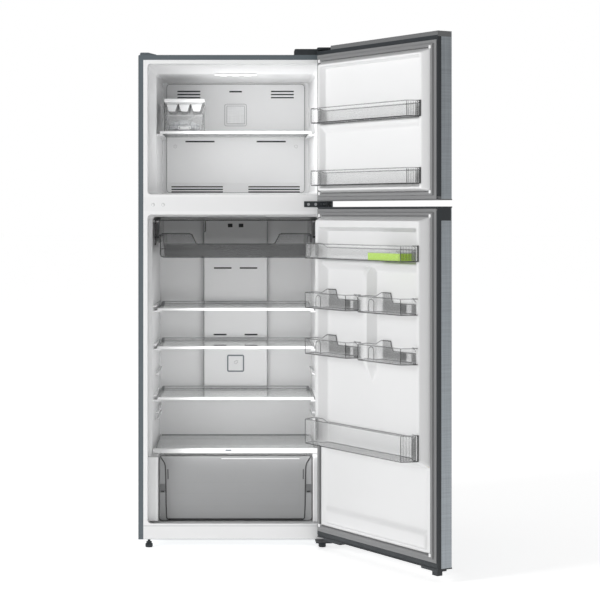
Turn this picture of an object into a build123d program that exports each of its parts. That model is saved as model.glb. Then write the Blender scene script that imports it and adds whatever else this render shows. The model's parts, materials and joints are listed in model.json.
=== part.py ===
from build123d import *
import os

# Top freezer refrigerator, in millimetres, standing with both doors open.
# +X is to the right seen from the front, +Y is to the back and +Z is up.  The origin is on the
# floor, below the centre of the cabinet.  The pieces are drawn in a working frame whose Y is the
# depth behind the cabinet's front plane, and save() moves them to the origin.

# ---- cabinet -------------------------------------------------------------------------------
CABINET_W = 700.0
CABINET_D = 610.0
CABINET_BOTTOM = 29.0
CABINET_TOP = 1772.0
SHEET = 1.0
PAN_T = 2.0
FLANGE_W = 18.0
LINER_T = 2.0
LIP_W = 15.0
OPENING_HALF = 317.0
FREEZER_FLOOR, FREEZER_CEILING = 1270.0, 1741.0
FRIDGE_FLOOR, FRIDGE_CEILING = 86.0, 1198.0
RAIL_BOTTOM, RAIL_TOP = 1210.0, 1260.0
KICK_TOP = 78.0
FREEZER_BACK = 537.0
FRIDGE_BACK = 520.0
STEP_FRONT, STEP_TOP = 345.0, 322.0
MACHINE_FRONT, MACHINE_TOP = 383.0, 290.0

# ---- doors, in door coordinates: s runs from the pin to the free edge, t out of the front --------
PIN_X = 328.0
PIN_DEPTH = -40.9
OPEN_ANGLE = 121.3
DOOR_S0, DOOR_S1 = -22.0, 675.3
DOOR_OUT, DOOR_IN = 30.4, -28.5
DOOR_CORNER_R = 4.0
SIDE_RETURN = -14.0
FREEZER_DOOR_Z = (1245.5, 1794.7)
FRIDGE_DOOR_Z = (46.0, 1224.9)
LINER_S0, LINER_S1 = 8.0, 645.0
FRIDGE_LINER_BOTTOM = 94.0
PANEL_T = -38.0
FREEZER_CREST_T, FRIDGE_CREST_T = -60.0, -70.0
GASKET_BASE_T, GASKET_TIP_T = -32.5, -40.0
CAP_T = 12.0
NOTCH_S, NOTCH_Z = 62.0, 1773.0
HANDLE_S, HANDLE_H = 560.0, 46.0
PIN_R = 5.0
RUN_FIT = 0.06

# ---- door bins ----------------------------------------------------------------------------------
BIN_WALL = 2.5
BIN_BACK_T = PANEL_T - 2.0
FREEZER_BIN_FRONT, FRIDGE_BIN_FRONT = -104.0, -128.0
BIN_END_S0, BIN_END_S1 = 25.0, 629.0
TAB_WIDTH, TAB_RISE, LOW_BACK_DROP = 47.0, 11.0, 23.0
FREEZER_BIN_BOTTOMS = {"upper": 1518.0, "lower": 1299.0}
FREEZER_BIN_H = 54.0
TOP_BIN_Z = (1044.0, 1098.0)
HALF_BIN_ROWS = {"upper": (870.0, 926.0), "lower": (709.0, 765.0)}
BOTTOM_BIN_Z = (394.0, 482.0)
RIB_S, RIB_HALF_BASE, RIB_HALF_CREST, RIB_T = 326.0, 57.0, 10.0, -66.0

# ---- shelves and drawers ------------------------------------------------------------------------
GLASS_T = 4.0
STRIP_H, STRIP_D = 10.0, 12.0
FREEZER_SHELF_TOP, FREEZER_SHELF_HALF = 1503.0, 277.0
FREEZER_SHELF_FRONT, FREEZER_SHELF_BACK = 95.0, 425.0
FRIDGE_SHELF_TOPS = [855.0, 714.0, 527.0]
FRIDGE_SHELF_HALF = 287.0
FRIDGE_SHELF_FRONT, FRIDGE_SHELF_BACK = 130.0, 482.0
LEDGE_H = 6.0
CRISPER_COVER_TOP = 348.0
CRISPER_HALF, CRISPER_FRONT, CRISPER_BACK = 277.0, 62.0, 338.0
CRISPER_Z = (87.0, 321.0)
CHILLER_HALF, CHILLER_FRONT, CHILLER_BACK = 275.0, 100.0, 430.0
CHILLER_Z = (1042.0, 1128.0)
CHILLER_COVER_TOP = 1179.0
DRAWER_WALL = 2.5
ICE_X0, ICE_X1 = -262.0, -114.0
ICE_FRONT, ICE_BACK = 115.0, 330.0
ICE_TOP = 1622.0

# ---- freezer air system -------------------------------------------------------------------------
COVER_DEPTH, COVER_T = 440.0, 4.0
COVER_HALF, COVER_TOP = 266.0, 1699.0
DUCT_DEPTH, DUCT_HALF, DUCT_BOTTOM = 489.0, 123.0, 489.0
FAN_Z, FAN_R, FAN_DEPTH = 1580.0, 52.0, 466.0

# ---- feet, rollers and compressor ---------------------------------------------------------------
FOOT_X, FOOT_DEPTH, FOOT_R, FOOT_PAD_H = 312.0, 14.0, 13.5, 14.0
STUD_R = 5.0
ROLLER_X, ROLLER_DEPTH, ROLLER_R, ROLLER_W, AXLE_R = 290.0, 560.0, 13.0, 14.0, 4.0
COMPRESSOR_X, COMPRESSOR_DEPTH, COMPRESSOR_R = 110.0, 496.0, 74.0
GLAND_X, GLAND_Z, GLAND_BORE_R = -250.0, 120.0, 4.5

os.makedirs("parts", exist_ok=True)


def save(name, *pieces):
    """Write one node, moved from the working frame to the row's origin."""
    shape = pieces[0] if len(pieces) == 1 else Compound(list(pieces))
    export_step(Pos(0, -CABINET_D / 2, 0) * shape, "parts/" + name + ".step")


def block(x0, x1, y0, y1, z0, z1):
    """Box between two corners."""
    return Pos((x0 + x1) / 2, (y0 + y1) / 2, (z0 + z1) / 2) * Box(x1 - x0, y1 - y0, z1 - z0)


def rod(x, y, z, radius, length, direction):
    """Cylinder from one end point along an axis direction."""
    return extrude(Plane((x, y, z), z_dir=direction) * Circle(radius), amount=length)


def tapered(sections, grow=0.0, corner=0.0):
    """Ruled solid through rectangles that stand across Y: (depth, x0, x1, z0, z1)."""
    faces = []
    for depth, x0, x1, z0, z1 in sections:
        plane = Plane(((x0 + x1) / 2, depth, (z0 + z1) / 2), x_dir=(1, 0, 0), z_dir=(0, -1, 0))
        width, height = x1 - x0 + 2 * grow, z1 - z0 + 2 * grow
        shape = RectangleRounded(width, height, corner) if corner else Rectangle(width, height)
        faces.append(plane * shape)
    return loft(faces, ruled=True)


def round_edges(shape, axis, radius):
    """Fillet every straight edge that runs along one axis."""
    return fillet(shape.edges().filter_by(axis), radius)


# ==== cabinet ====================================================================================

FREEZER_SECTIONS = [
    (0.0, -OPENING_HALF, OPENING_HALF, FREEZER_FLOOR, FREEZER_CEILING),
    (35.0, -315.0, 315.0, 1272.0, 1737.0),
    (100.0, -290.0, 290.0, 1275.0, 1711.0),
    (FREEZER_BACK, -278.0, 278.0, 1277.0, 1702.0),
]
FRIDGE_SECTIONS = [
    (0.0, -OPENING_HALF, OPENING_HALF, FRIDGE_FLOOR, FRIDGE_CEILING),
    (35.0, -315.0, 315.0, 84.0, 1195.0),
    (60.0, -303.0, 303.0, 83.0, 1190.0),
    (FRIDGE_BACK, -293.0, 293.0, 83.0, 1186.0),
]


def with_back(sections):
    """The same sections with the liner's thickness added behind the last."""
    depth, *rectangle = sections[-1]
    return sections[:-1] + [(depth + LINER_T, *rectangle)]


def freezer_outer():
    return tapered(with_back(FREEZER_SECTIONS), grow=LINER_T)


def fridge_outer():
    step = block(-400, 400, STEP_FRONT + LINER_T, 700, 0, STEP_TOP - LINER_T)
    return tapered(with_back(FRIDGE_SECTIONS), grow=LINER_T) - step


def lip(z0, z1):
    """Flat white frame around a compartment's mouth."""
    half = OPENING_HALF + LIP_W
    return block(-half, half, 0, LINER_T, z0, z1)


def mirrored_pair(shape):
    return [shape, mirror(shape, Plane.YZ)]


def freezer_liner():
    outer = freezer_outer()
    body = outer + lip(RAIL_TOP, CABINET_TOP - FLANGE_W)
    body -= tapered(FREEZER_SECTIONS, corner=12.0)
    shelf_z = FREEZER_SHELF_TOP - STRIP_H
    ledge = block(268, 300, 110, 420, shelf_z - LEDGE_H, shelf_z)
    for side in mirrored_pair(ledge):
        body += side & outer
    return body


def fridge_liner():
    outer = fridge_outer()
    inner = tapered(FRIDGE_SECTIONS, corner=14.0)
    inner -= block(-400, 400, STEP_FRONT, 700, 0, STEP_TOP)
    body = outer + lip(KICK_TOP, RAIL_BOTTOM) - inner
    rails = [block(280, 310, CRISPER_FRONT, STEP_FRONT + 1, FRIDGE_FLOOR - 4, CRISPER_Z[1] + 8)]
    for top in FRIDGE_SHELF_TOPS:
        z = top - STRIP_H
        rails.append(block(276, 310, 140, 505, z - LEDGE_H, z))
        rails.append(block(291, 310, 140, 505, top + 2, top + 2 + LEDGE_H))
    rails.append(block(281, 310, 120, 470, CHILLER_COVER_TOP - 9, CHILLER_COVER_TOP - 3))
    for rail in rails:
        for side in mirrored_pair(rail):
            body += side & outer
    return body


def outer_shell():
    half = CABINET_W / 2
    shell = block(-half, half, 0, CABINET_D, CABINET_BOTTOM, CABINET_TOP)
    shell = fillet(shell.edges().filter_by(Axis.Y).group_by(Axis.Z)[-1], 5.0)
    core = block(-half + SHEET, half - SHEET, SHEET, CABINET_D, 0, CABINET_TOP - SHEET)
    core = fillet(core.edges().filter_by(Axis.Y).group_by(Axis.Z)[-1], 4.0)
    mouth = half - FLANGE_W
    return shell - core - block(-mouth, mouth, -1, 5, 0, CABINET_TOP - FLANGE_W)


def cabinet_foam():
    half = CABINET_W / 2 - SHEET
    foam = block(-half, half, LINER_T, CABINET_D - SHEET, CABINET_BOTTOM + PAN_T, CABINET_TOP - SHEET)
    foam = fillet(foam.edges().filter_by(Axis.Y).group_by(Axis.Z)[-1], 5.0)
    foam -= freezer_outer()
    foam -= fridge_outer()
    foam -= block(-400, 400, MACHINE_FRONT, 700, 0, MACHINE_TOP)
    for side in (-1, 1):
        foam -= rod(side * FOOT_X, FOOT_DEPTH, 20, STUD_R + 2, 36, (0, 0, 1))
    return foam


def center_rail():
    half = OPENING_HALF + LIP_W
    rail = block(-half, half, 0, LINER_T, RAIL_BOTTOM, RAIL_TOP)
    for x in (-297, -261):
        rail -= rod(x, -1, 1233, 3.0, 5, (0, 1, 0))
    return rail


def kick_plate():
    half = OPENING_HALF + LIP_W
    return block(-half, half, 0, LINER_T, CABINET_BOTTOM + PAN_T, KICK_TOP)


def rear_panel():
    half = CABINET_W / 2 - SHEET
    panel = block(-half, half, CABINET_D - SHEET, CABINET_D, MACHINE_TOP, CABINET_TOP - SHEET)
    return fillet(panel.edges().filter_by(Axis.Y).group_by(Axis.Z)[-1], 5.0)


def base_pan():
    """Floor pan with the step over the compressor, and the rear roller brackets."""
    half = CABINET_W / 2 - SHEET
    pan = block(-half, half, SHEET, CABINET_D - 2, CABINET_BOTTOM, CABINET_BOTTOM + PAN_T)
    pan += block(-half, half, MACHINE_FRONT, MACHINE_FRONT + PAN_T, CABINET_BOTTOM, MACHINE_TOP)
    pan += block(-half, half, MACHINE_FRONT, CABINET_D - 2, MACHINE_TOP - PAN_T, MACHINE_TOP)
    for side in (-1, 1):
        pan -= rod(side * FOOT_X, FOOT_DEPTH, 20, STUD_R + RUN_FIT, 20, (0, 0, 1))
        middle = side * ROLLER_X
        for ear in (-1, 1):
            x = middle + ear * (ROLLER_W / 2 + 2.5)
            pan += block(x - 1.5, x + 1.5, ROLLER_DEPTH - 12, ROLLER_DEPTH + 12, 7, CABINET_BOTTOM + 1)
        pan += rod(middle - ROLLER_W / 2 - 4, ROLLER_DEPTH, ROLLER_R, AXLE_R, ROLLER_W + 8, (1, 0, 0))
    return pan


def foot(side):
    """Levelling foot: a hexagonal pad with a rounded base on a threaded stud."""
    x = side * FOOT_X
    pad = rod(x, FOOT_DEPTH, 0, FOOT_R, FOOT_PAD_H, (0, 0, 1))
    pad = chamfer(pad.edges().group_by(Axis.Z)[0], 2.0)
    pad = fillet(pad.edges().group_by(Axis.Z)[-1], 3.0)
    nut = extrude(Pos(x, FOOT_DEPTH, FOOT_PAD_H) * RegularPolygon(10, 6), amount=7)
    return pad + nut + rod(x, FOOT_DEPTH, 10, STUD_R, 42, (0, 0, 1))


def roller(side):
    wheel = rod(side * ROLLER_X - ROLLER_W / 2, ROLLER_DEPTH, ROLLER_R, ROLLER_R, ROLLER_W, (1, 0, 0))
    wheel = fillet(wheel.edges(), 2.0)
    return wheel - rod(side * ROLLER_X - 10, ROLLER_DEPTH, ROLLER_R, AXLE_R + RUN_FIT, 20, (1, 0, 0))


# ==== machine compartment ========================================================================

COMPRESSOR_FEET = [(dx, dy) for dx in (-80, 80) for dy in (-55, 55)]


def compressor():
    x, y = COMPRESSOR_X, COMPRESSOR_DEPTH
    pot = fillet(rod(x, y, 52, COMPRESSOR_R, 132, (0, 0, 1)).edges(), 34.0)
    plate = block(x - 96, x + 96, y - 70, y + 70, 46, 49)
    for dx, dy in COMPRESSOR_FEET:
        plate -= rod(x + dx, y + dy, 40, 5.0, 20, (0, 0, 1))
    saddle = block(x - 30, x + 30, y - 40, y + 40, 49, 60)
    relay = block(x - COMPRESSOR_R - 26, x - COMPRESSOR_R + 8, y - 24, y + 24, 84, 146)
    stub = rod(x + 30, y - 30, 150, 4.0, 42, (0, 0, 1))
    return pot + plate + saddle + relay + stub


def compressor_mounts():
    """Four rubber bushes between the compressor's plate and the floor pan."""
    bushes = []
    for dx, dy in COMPRESSOR_FEET:
        x, y = COMPRESSOR_X + dx, COMPRESSOR_DEPTH + dy
        bush = rod(x, y, CABINET_BOTTOM + PAN_T, 12.0, 46 - CABINET_BOTTOM - PAN_T, (0, 0, 1))
        bushes.append(bush + rod(x, y, 40, 4.9, 16, (0, 0, 1)))
    return bushes


def drain_pan():
    """Evaporating tray above the compressor."""
    x0, x1, y0, y1 = -60.0, 250.0, 400.0, 590.0
    tray = round_edges(block(x0, x1, y0, y1, 206, 240), Axis.Z, 12.0)
    well = round_edges(block(x0 + 2, x1 - 2, y0 + 2, y1 - 2, 208, 260), Axis.Z, 10.0)
    hangers = block(x0 + 20, x0 + 40, y0, y0 + 2, 236, MACHINE_TOP - PAN_T)
    hangers += block(x1 - 40, x1 - 20, y0, y0 + 2, 236, MACHINE_TOP - PAN_T)
    return tray - well + hangers


def compressor_cover():
    """Rear cover of the machine compartment with rows of cooling slots."""
    half = CABINET_W / 2 - SHEET
    z0 = CABINET_BOTTOM + PAN_T
    cover = block(-half, half, CABINET_D - 1.5, CABINET_D, z0, MACHINE_TOP)
    for row in range(5):
        for column in range(9):
            if row < 3 and column < 3:
                continue
            x = -288 + column * 72
            z = 78 + row * 42
            cover -= block(x - 24, x + 24, 600, 620, z - 4, z + 4)
    return cover - rod(GLAND_X, 600, GLAND_Z, 8.0, 20, (0, 1, 0))


def power_inlet():
    """Strain relief bush for the supply cord."""
    bush = rod(GLAND_X, CABINET_D - 12, GLAND_Z, 7.8, 12, (0, 1, 0))
    bush += rod(GLAND_X, CABINET_D - 4.5, GLAND_Z, 11.0, 3.0, (0, 1, 0))
    return bush - rod(GLAND_X, 580, GLAND_Z, GLAND_BORE_R, 40, (0, 1, 0))


# ==== freezer air system =========================================================================


def evaporator_cover():
    z0 = 1277.5
    cover = block(-COVER_HALF, COVER_HALF, COVER_DEPTH, COVER_DEPTH + COVER_T, z0, COVER_TOP)
    cover = fillet(cover.edges().filter_by(Axis.Y).group_by(Axis.Z)[-1], 14.0)
    for side in (-1, 1):
        for z in (1671, 1659, 1647):
            cover -= slot_cut(side * 180, z, 88, 5)
        cover -= slot_cut(side * 137, 1478, 112, 6)
        for z in (1304, 1294, 1284):
            cover -= slot_cut(side * 148, z, 198, 5)
    cover -= slot_cut(0, 1670, 48, 6)
    shroud = rod(0, COVER_DEPTH + COVER_T, FAN_Z, FAN_R + 8, 34, (0, 1, 0))
    shroud -= rod(0, COVER_DEPTH + COVER_T, FAN_Z, FAN_R + 4, 40, (0, 1, 0))
    return cover + shroud


def slot_cut(x, z, width, height):
    return block(x - width / 2, x + width / 2, 430, 450, z - height / 2, z + height / 2)


def evaporator_coil():
    """Finned tube heat exchanger: two columns of tubes through a stack of fins."""
    depths, heights = (478, 504), [1300 + 34 * i for i in range(5)]
    fins = None
    for i in range(19):
        x = -207 + 23 * i
        fin = block(x - 0.5, x + 0.5, 462, 520, 1286, 1452)
        fins = fin if fins is None else fins + fin
    for depth in depths:
        for z in heights:
            fins += rod(-222, depth, z, 4.0, 444, (1, 0, 0))
        for i in range(4):
            z = (heights[i] + heights[i + 1]) / 2
            x = 222 if i % 2 else -222
            fins += block(x - 4, x + 4, depth - 4, depth + 4, z - 19, z + 19)
    return fins


def fan_motor():
    motor = fillet(rod(0, 498, FAN_Z, 26.0, 30, (0, 1, 0)).edges(), 3.0)
    stay = block(-70, 70, 524, 528, FAN_Z - 9, FAN_Z + 9)
    return motor + stay + rod(0, FAN_DEPTH - 4, FAN_Z, 2.5, 40, (0, 1, 0))


def evaporator_fan():
    hub = rod(0, FAN_DEPTH - 8, FAN_Z, 16.0, 24, (0, 1, 0))
    blade = Pos(34, 0, 0) * Rotation(35, 0, 0) * Box(38, 2, 26)
    fan = hub
    for i in range(7):
        fan += Pos(0, FAN_DEPTH + 4, FAN_Z) * Rotation(0, i * 360 / 7, 0) * blade
    return fan - rod(0, 440, FAN_Z, 2.5 + RUN_FIT, 80, (0, 1, 0))


def air_duct_cover():
    """Raised channel down the middle of the fresh food compartment's back wall."""
    top = 1185.0
    duct = block(-DUCT_HALF, DUCT_HALF, DUCT_DEPTH, FRIDGE_BACK, DUCT_BOTTOM, top)
    duct = fillet(duct.edges().filter_by(Axis.Z).group_by(Axis.Y)[0], 6.0)
    duct -= block(-DUCT_HALF + 3, DUCT_HALF - 3, DUCT_DEPTH + 3, 540, DUCT_BOTTOM + 3, top - 3)
    for side in (-1, 1):
        duct -= block(side * 21 - 9, side * 21 + 9, 480, 500, 1148, 1162)
        duct -= block(side * 50 - 34, side * 50 + 34, 480, 500, 987, 993)
        for z in (732, 689):
            duct -= block(side * 60 - 25, side * 60 + 25, 480, 500, z - 3, z + 3)
    return duct


def badge(z, depth, half):
    """Square trim plate with a raised rim and no mark on it."""
    plate = block(-half, half, depth - 2, depth, z - half, z + half)
    plate = round_edges(plate, Axis.Y, 6.0)
    inset = block(-half + 5, half - 5, depth - 3, depth - 1.2, z - half + 5, z + half - 5)
    return plate - round_edges(inset, Axis.Y, 3.0)


def lamp_lens(half, depth0, depth1, top):
    return round_edges(block(-half, half, depth0, depth1, top - 5, top), Axis.Z, 4.0)


# ==== hinges and trim on the cabinet =============================================================


def top_hinge():
    """Strap screwed to the cabinet's roof with a pin down into the freezer door."""
    z = CABINET_TOP
    strap = block(262, 341, 6, 60, z, z + 3)
    strap += block(300, 341, PIN_DEPTH, 20, z + 3, z + 6)
    strap += rod(PIN_X - 6, PIN_DEPTH, z + 3, 14.0, 3, (0, 0, 1))
    strap += block(300, 336, PIN_DEPTH - 14, PIN_DEPTH, z + 3, z + 6)
    for x, y in TOP_HINGE_SCREWS:
        strap -= rod(x, y, z - 5, 3.0, 20, (0, 0, 1))
    return strap + rod(PIN_X, PIN_DEPTH, 1752, PIN_R, z + 3 - 1752, (0, 0, 1))


TOP_HINGE_SCREWS = [(274, 30), (290, 46), (322, 46)]
MIDDLE_HINGE_SCREWS = [(262, 1234.5), (288, 1234.5)]
BOTTOM_HINGE_SCREWS = [(296, 46), (334, 46)]


def top_hinge_cover():
    z = CABINET_TOP
    box = block(212, 346, 2, 78, z, z + 22)
    box = fillet(box.edges().filter_by(Axis.Z) + box.edges().group_by(Axis.Z)[-1], 4.0)
    cover = box - block(215, 343, 5, 75, z - 1, z + 19)
    mouth = block(298, 346, -5, 6, z - 1, z + 8)
    visor = block(292, 346, PIN_DEPTH - 16, 3, z + 14, z + 22)
    visor = fillet(visor.edges().filter_by(Axis.Z).group_by(Axis.Y)[0], 12.0)
    return cover - mouth + visor


def corner_cap():
    cap = block(-344, -283, 3, 60, CABINET_TOP, CABINET_TOP + 9)
    return fillet(cap.edges().filter_by(Axis.Z) + cap.edges().group_by(Axis.Z)[-1], 3.0)


def middle_hinge():
    """Angle bracket on the centre rail with a pin up into one door and down into the other."""
    z0, z1 = 1232.0, 1238.0
    bracket = block(246, 345, -4, 0, 1224.5, 1245.5)
    bracket += block(306, 345, PIN_DEPTH, -4, z0, z1)
    bracket += rod(PIN_X, PIN_DEPTH, z0, 15.0, z1 - z0, (0, 0, 1))
    for x, z in MIDDLE_HINGE_SCREWS:
        bracket -= rod(x, -10, z, 3.0, 20, (0, 1, 0))
    return bracket + rod(PIN_X, PIN_DEPTH, 1206, PIN_R, 1265 - 1206, (0, 0, 1))


def bottom_hinge():
    """Plate under the cabinet's front corner with a pin up into the fresh food door's closer."""
    z0, z1 = CABINET_BOTTOM - 4, CABINET_BOTTOM
    bracket = block(286, 345, PIN_DEPTH - 14, 0, z0, z1) + block(286, 346, 0, 58, z0, z1)
    bracket = fillet(bracket.edges().filter_by(Axis.Z).group_by(Axis.Y)[0], 6.0)
    for x, y in BOTTOM_HINGE_SCREWS:
        bracket -= rod(x, y, z0 - 5, 3.0, 20, (0, 0, 1))
    bracket -= rod(FOOT_X, FOOT_DEPTH, z0 - 5, 8.0, 20, (0, 0, 1))
    return bracket + rod(PIN_X, PIN_DEPTH, z0, PIN_R, 66 - z0, (0, 0, 1))


def screw(x, y, z, direction, length):
    """Round-headed screw whose head sits against the surface and whose shank goes in."""
    dx, dy, dz = direction
    head = rod(x, y, z, 5.0, 3.0, direction)
    return head + rod(x - dx * length, y - dy * length, z - dz * length, 2.9, length, direction)


def hinge_screws():
    screws = [screw(x, y, CABINET_TOP + 3, (0, 0, 1), 3.0) for x, y in TOP_HINGE_SCREWS]
    for x, z in MIDDLE_HINGE_SCREWS:
        screws.append(screw(x, -4, z, (0, -1, 0), 4.0))
    for x, y in BOTTOM_HINGE_SCREWS:
        screws.append(screw(x, y, CABINET_BOTTOM - 4, (0, 0, -1), 4.0))
    return screws


def trim_plugs():
    """Two plugs in the spare hinge holes for a left-hand door."""
    plugs = []
    for x in (-297, -261):
        head = fillet(rod(x, -1.8, 1233, 5.0, 1.8, (0, 1, 0)).edges().group_by(Axis.Y)[0], 1.0)
        plugs.append(head + rod(x, -0.5, 1233, 2.9, 2.5, (0, 1, 0)))
    return plugs


# ==== shelves, covers and drawers ================================================================


def shelf(half, front, back, top):
    """Glass pane held in a front strip and a raised back strip."""
    z1 = top - 2
    pane = block(-half + 1, half - 1, front + STRIP_D, back - 10, z1 - GLASS_T, z1)
    strip = block(-half, half, front, front + STRIP_D, top - STRIP_H, top)
    strip = fillet(strip.edges().filter_by(Axis.X).group_by(Axis.Y)[0], 2.5)
    rail = block(-half, half, back - 10, back, top - STRIP_H, top + 8)
    return pane, strip, rail


def crisper_cover():
    """Glass cover of the crisper with a deep front strip that carries the humidity slide."""
    top, half = CRISPER_COVER_TOP, 300.0
    pane = block(-half + 14, half - 14, 74, 478, top - 2 - GLASS_T, top - 2)
    strip = block(-half, half, 58, 74, top - 17, top)
    strip = fillet(strip.edges().filter_by(Axis.X).group_by(Axis.Y)[0], 3.0)
    strip -= block(-42, 42, 50, 62, top - 9, top - 3)
    sides = [block(-half + 8, -half + 14, 74, 478, top - 12, top)]
    sides.append(block(half - 14, half - 8, 74, 478, top - 12, top))
    return [pane, strip] + sides


def humidity_slider():
    top = CRISPER_COVER_TOP
    tab = block(-36, -16, 56.5, 61.5, top - 8.6, top - 3.4)
    return fillet(tab.edges().filter_by(Axis.X).group_by(Axis.Y)[0], 1.0)


def open_box(x0, x1, y0, y1, z0, z1, wall, corner):
    """Drawer or bin body, open at the top."""
    box = round_edges(block(x0, x1, y0, y1, z0, z1), Axis.Z, corner)
    well = block(x0 + wall, x1 - wall, y0 + wall, y1 - wall, z0 + wall, z1 + 50)
    return box - round_edges(well, Axis.Z, corner - wall / 2)


def crisper_drawer():
    z0, z1 = CRISPER_Z
    front = block(-CRISPER_HALF, CRISPER_HALF, CRISPER_FRONT, CRISPER_FRONT + 4, z0, z1)
    front = fillet(front.edges().filter_by(Axis.Y).group_by(Axis.Z)[0], 14.0)
    front = fillet(front.edges().filter_by(Axis.Y).group_by(Axis.Z)[-1], 5.0)
    body = open_box(-262, 262, CRISPER_FRONT + 2, CRISPER_BACK, z0 + 3, z1 - 9, DRAWER_WALL, 10.0)
    for side in (-1, 1):
        x0, x1 = sorted((side * 259.5, side * 276))
        body += block(x0, x1, CRISPER_FRONT + 3, CRISPER_BACK - 12, z1 - 12, z1 - 9)
    return front + body


def chiller_drawer():
    z0, z1 = CHILLER_Z
    front = block(-CHILLER_HALF, CHILLER_HALF, CHILLER_FRONT, CHILLER_FRONT + 4, z0, z1)
    front = fillet(front.edges().filter_by(Axis.Y).group_by(Axis.Z)[0], 12.0)
    front = fillet(front.edges().filter_by(Axis.Y).group_by(Axis.Z)[-1], 4.0)
    dip = [(-167, z1 + 5), (-141, z1 - 38), (141, z1 - 38), (167, z1 + 5)]
    notch = make_face(Plane.XZ * Polyline(*dip, close=True))
    front -= extrude(Pos(0, CHILLER_FRONT + 10, 0) * notch, amount=20)
    body = open_box(-264, 264, CHILLER_FRONT + 3, CHILLER_BACK, z0 + 2, z1 - 42, DRAWER_WALL, 10.0)
    for side in (-1, 1):
        x0, x1 = sorted((side * 261.5, side * 264))
        body += block(x0, x1, CHILLER_FRONT + 3, CHILLER_BACK - 12, z1 - 44, z1 - 4)
        x0, x1 = sorted((side * 262, side * 275))
        body += block(x0, x1, CHILLER_FRONT + 3, CHILLER_BACK - 12, z1 - 7, z1 - 4)
    return front + body


def chiller_frame():
    """Cover plate over the chiller drawer with a hanging rail on each side."""
    top, z_rail = CHILLER_COVER_TOP, CHILLER_Z[1] - 7.3
    half = 295.0
    frame = block(-half + 5, half - 5, CHILLER_FRONT + 4, 470, top - 3, top)
    frame += block(-half, half, CHILLER_FRONT + 4, CHILLER_FRONT + 12, top - 7, top)
    for side in (-1, 1):
        x0, x1 = sorted((side * 277, side * 280))
        frame += block(x0, x1, CHILLER_FRONT + 4, 470, z_rail - 26, top - 3)
        x0, x1 = sorted((side * 289, side * half))
        frame += block(x0, x1, CHILLER_FRONT + 4, CHILLER_FRONT + 12, 1086, top)
        x0, x1 = sorted((side * 266, side * 278))
        frame += block(x0, x1, CHILLER_FRONT + 6, 470, z_rail - 3.5, z_rail)
    return frame


def ice_trays():
    """Three deep trays side by side under a flat rim, each with a row of five cells."""
    trays = []
    pitch = 46.0
    for i in range(3):
        x = (ICE_X0 + ICE_X1) / 2 + (i - 1) * pitch
        tray = block(x - 22, x + 22, ICE_FRONT + 2, ICE_BACK - 8, 1574, 1605)
        tray = chamfer(tray.edges().filter_by(Axis.Y).group_by(Axis.Z)[0], 8.0)
        for j in range(5):
            y = ICE_FRONT + 4 + 41 * j
            tray -= block(x - 14, x + 14, y, y + 38, 1577, 1620)
        trays.append(tray)
    return trays


def ice_frame():
    """Open stand over the ice bin: a top rim on two side cheeks."""
    z0 = FREEZER_SHELF_TOP + 0.2
    frame = block(ICE_X0, ICE_X1, ICE_FRONT, ICE_BACK, z0, ICE_TOP)
    frame -= block(ICE_X0 + 3, ICE_X1 - 3, ICE_FRONT - 5, ICE_BACK - 3, z0 - 5, ICE_TOP - 14)
    frame -= block(ICE_X0 + 8, ICE_X1 - 8, ICE_FRONT + 6, ICE_BACK - 8, z0, ICE_TOP + 5)
    return frame


def ice_bin():
    z0 = FREEZER_SHELF_TOP + 0.6
    box = open_box(ICE_X0 + 5, ICE_X1 - 5, ICE_FRONT + 2, ICE_BACK - 6, z0, 1569, DRAWER_WALL, 8.0)
    return box - block(-208, -174, ICE_FRONT, ICE_FRONT + 8, z0 + 8, z0 + 17)


# ==== doors ======================================================================================


def door_block(s0, s1, t0, t1, z0, z1):
    """Box in door coordinates, drawn with the door closed."""
    return block(PIN_X - s1, PIN_X - s0, PIN_DEPTH - t1, PIN_DEPTH - t0, z0, z1)


def door_taper(*sections):
    """Ruled solid in door coordinates through (t, s0, s1, z0, z1) rectangles."""
    moved = []
    for t, s0, s1, z0, z1 in sorted(sections, reverse=True):
        moved.append((PIN_DEPTH - t, PIN_X - s1, PIN_X - s0, z0, z1))
    return tapered(moved)


def opened(shape):
    """Swing a piece of a closed door to the open position it has at rest."""
    return shape.rotate(Axis((PIN_X, PIN_DEPTH, 0), (0, 0, 1)), OPEN_ANGLE)


def pin_hole(z0, z1):
    return rod(PIN_X, PIN_DEPTH, z0, PIN_R + RUN_FIT, z1 - z0, (0, 0, 1))


def hinge_notch():
    """Space cut out of the freezer door's top corner for the hinge strap."""
    return door_block(-40, NOTCH_S, -60, 60, NOTCH_Z, 1900)


def door_skin(z0, z1, end_top):
    """Steel front folded back along both long edges; end_top is where the free return ends."""
    outer = door_block(DOOR_S0, DOOR_S1, SIDE_RETURN, DOOR_OUT, z0, z1)
    outer = fillet(outer.edges().filter_by(Axis.Z).group_by(Axis.Y)[0], DOOR_CORNER_R)
    core = door_block(DOOR_S0 + SHEET, DOOR_S1 - SHEET, -60, DOOR_OUT - SHEET, z0 - 5, z1 + 5)
    core = fillet(core.edges().filter_by(Axis.Z).group_by(Axis.Y)[0], DOOR_CORNER_R - SHEET)
    return outer - core - door_block(DOOR_S1 - 8, DOOR_S1 + 8, -60, DOOR_OUT - 5, end_top, z1 + 5)


def gasket(z0, z1):
    """Magnetic seal: a flat base with a raised bulb around the liner."""
    s0, s1 = LINER_S0, LINER_S1
    base = door_block(s0 - 26, s1 + 26, GASKET_BASE_T, DOOR_IN, z0 - 26, z1 + 26)
    base -= door_block(s0, s1, -90, 0, z0, z1)
    bulb = door_block(s0 - 13, s1 + 13, GASKET_TIP_T, GASKET_BASE_T, z0 - 13, z1 + 13)
    bulb -= door_block(s0 - 1, s1 + 1, -90, 0, z0 - 1, z1 + 1)
    return base + bulb


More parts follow.
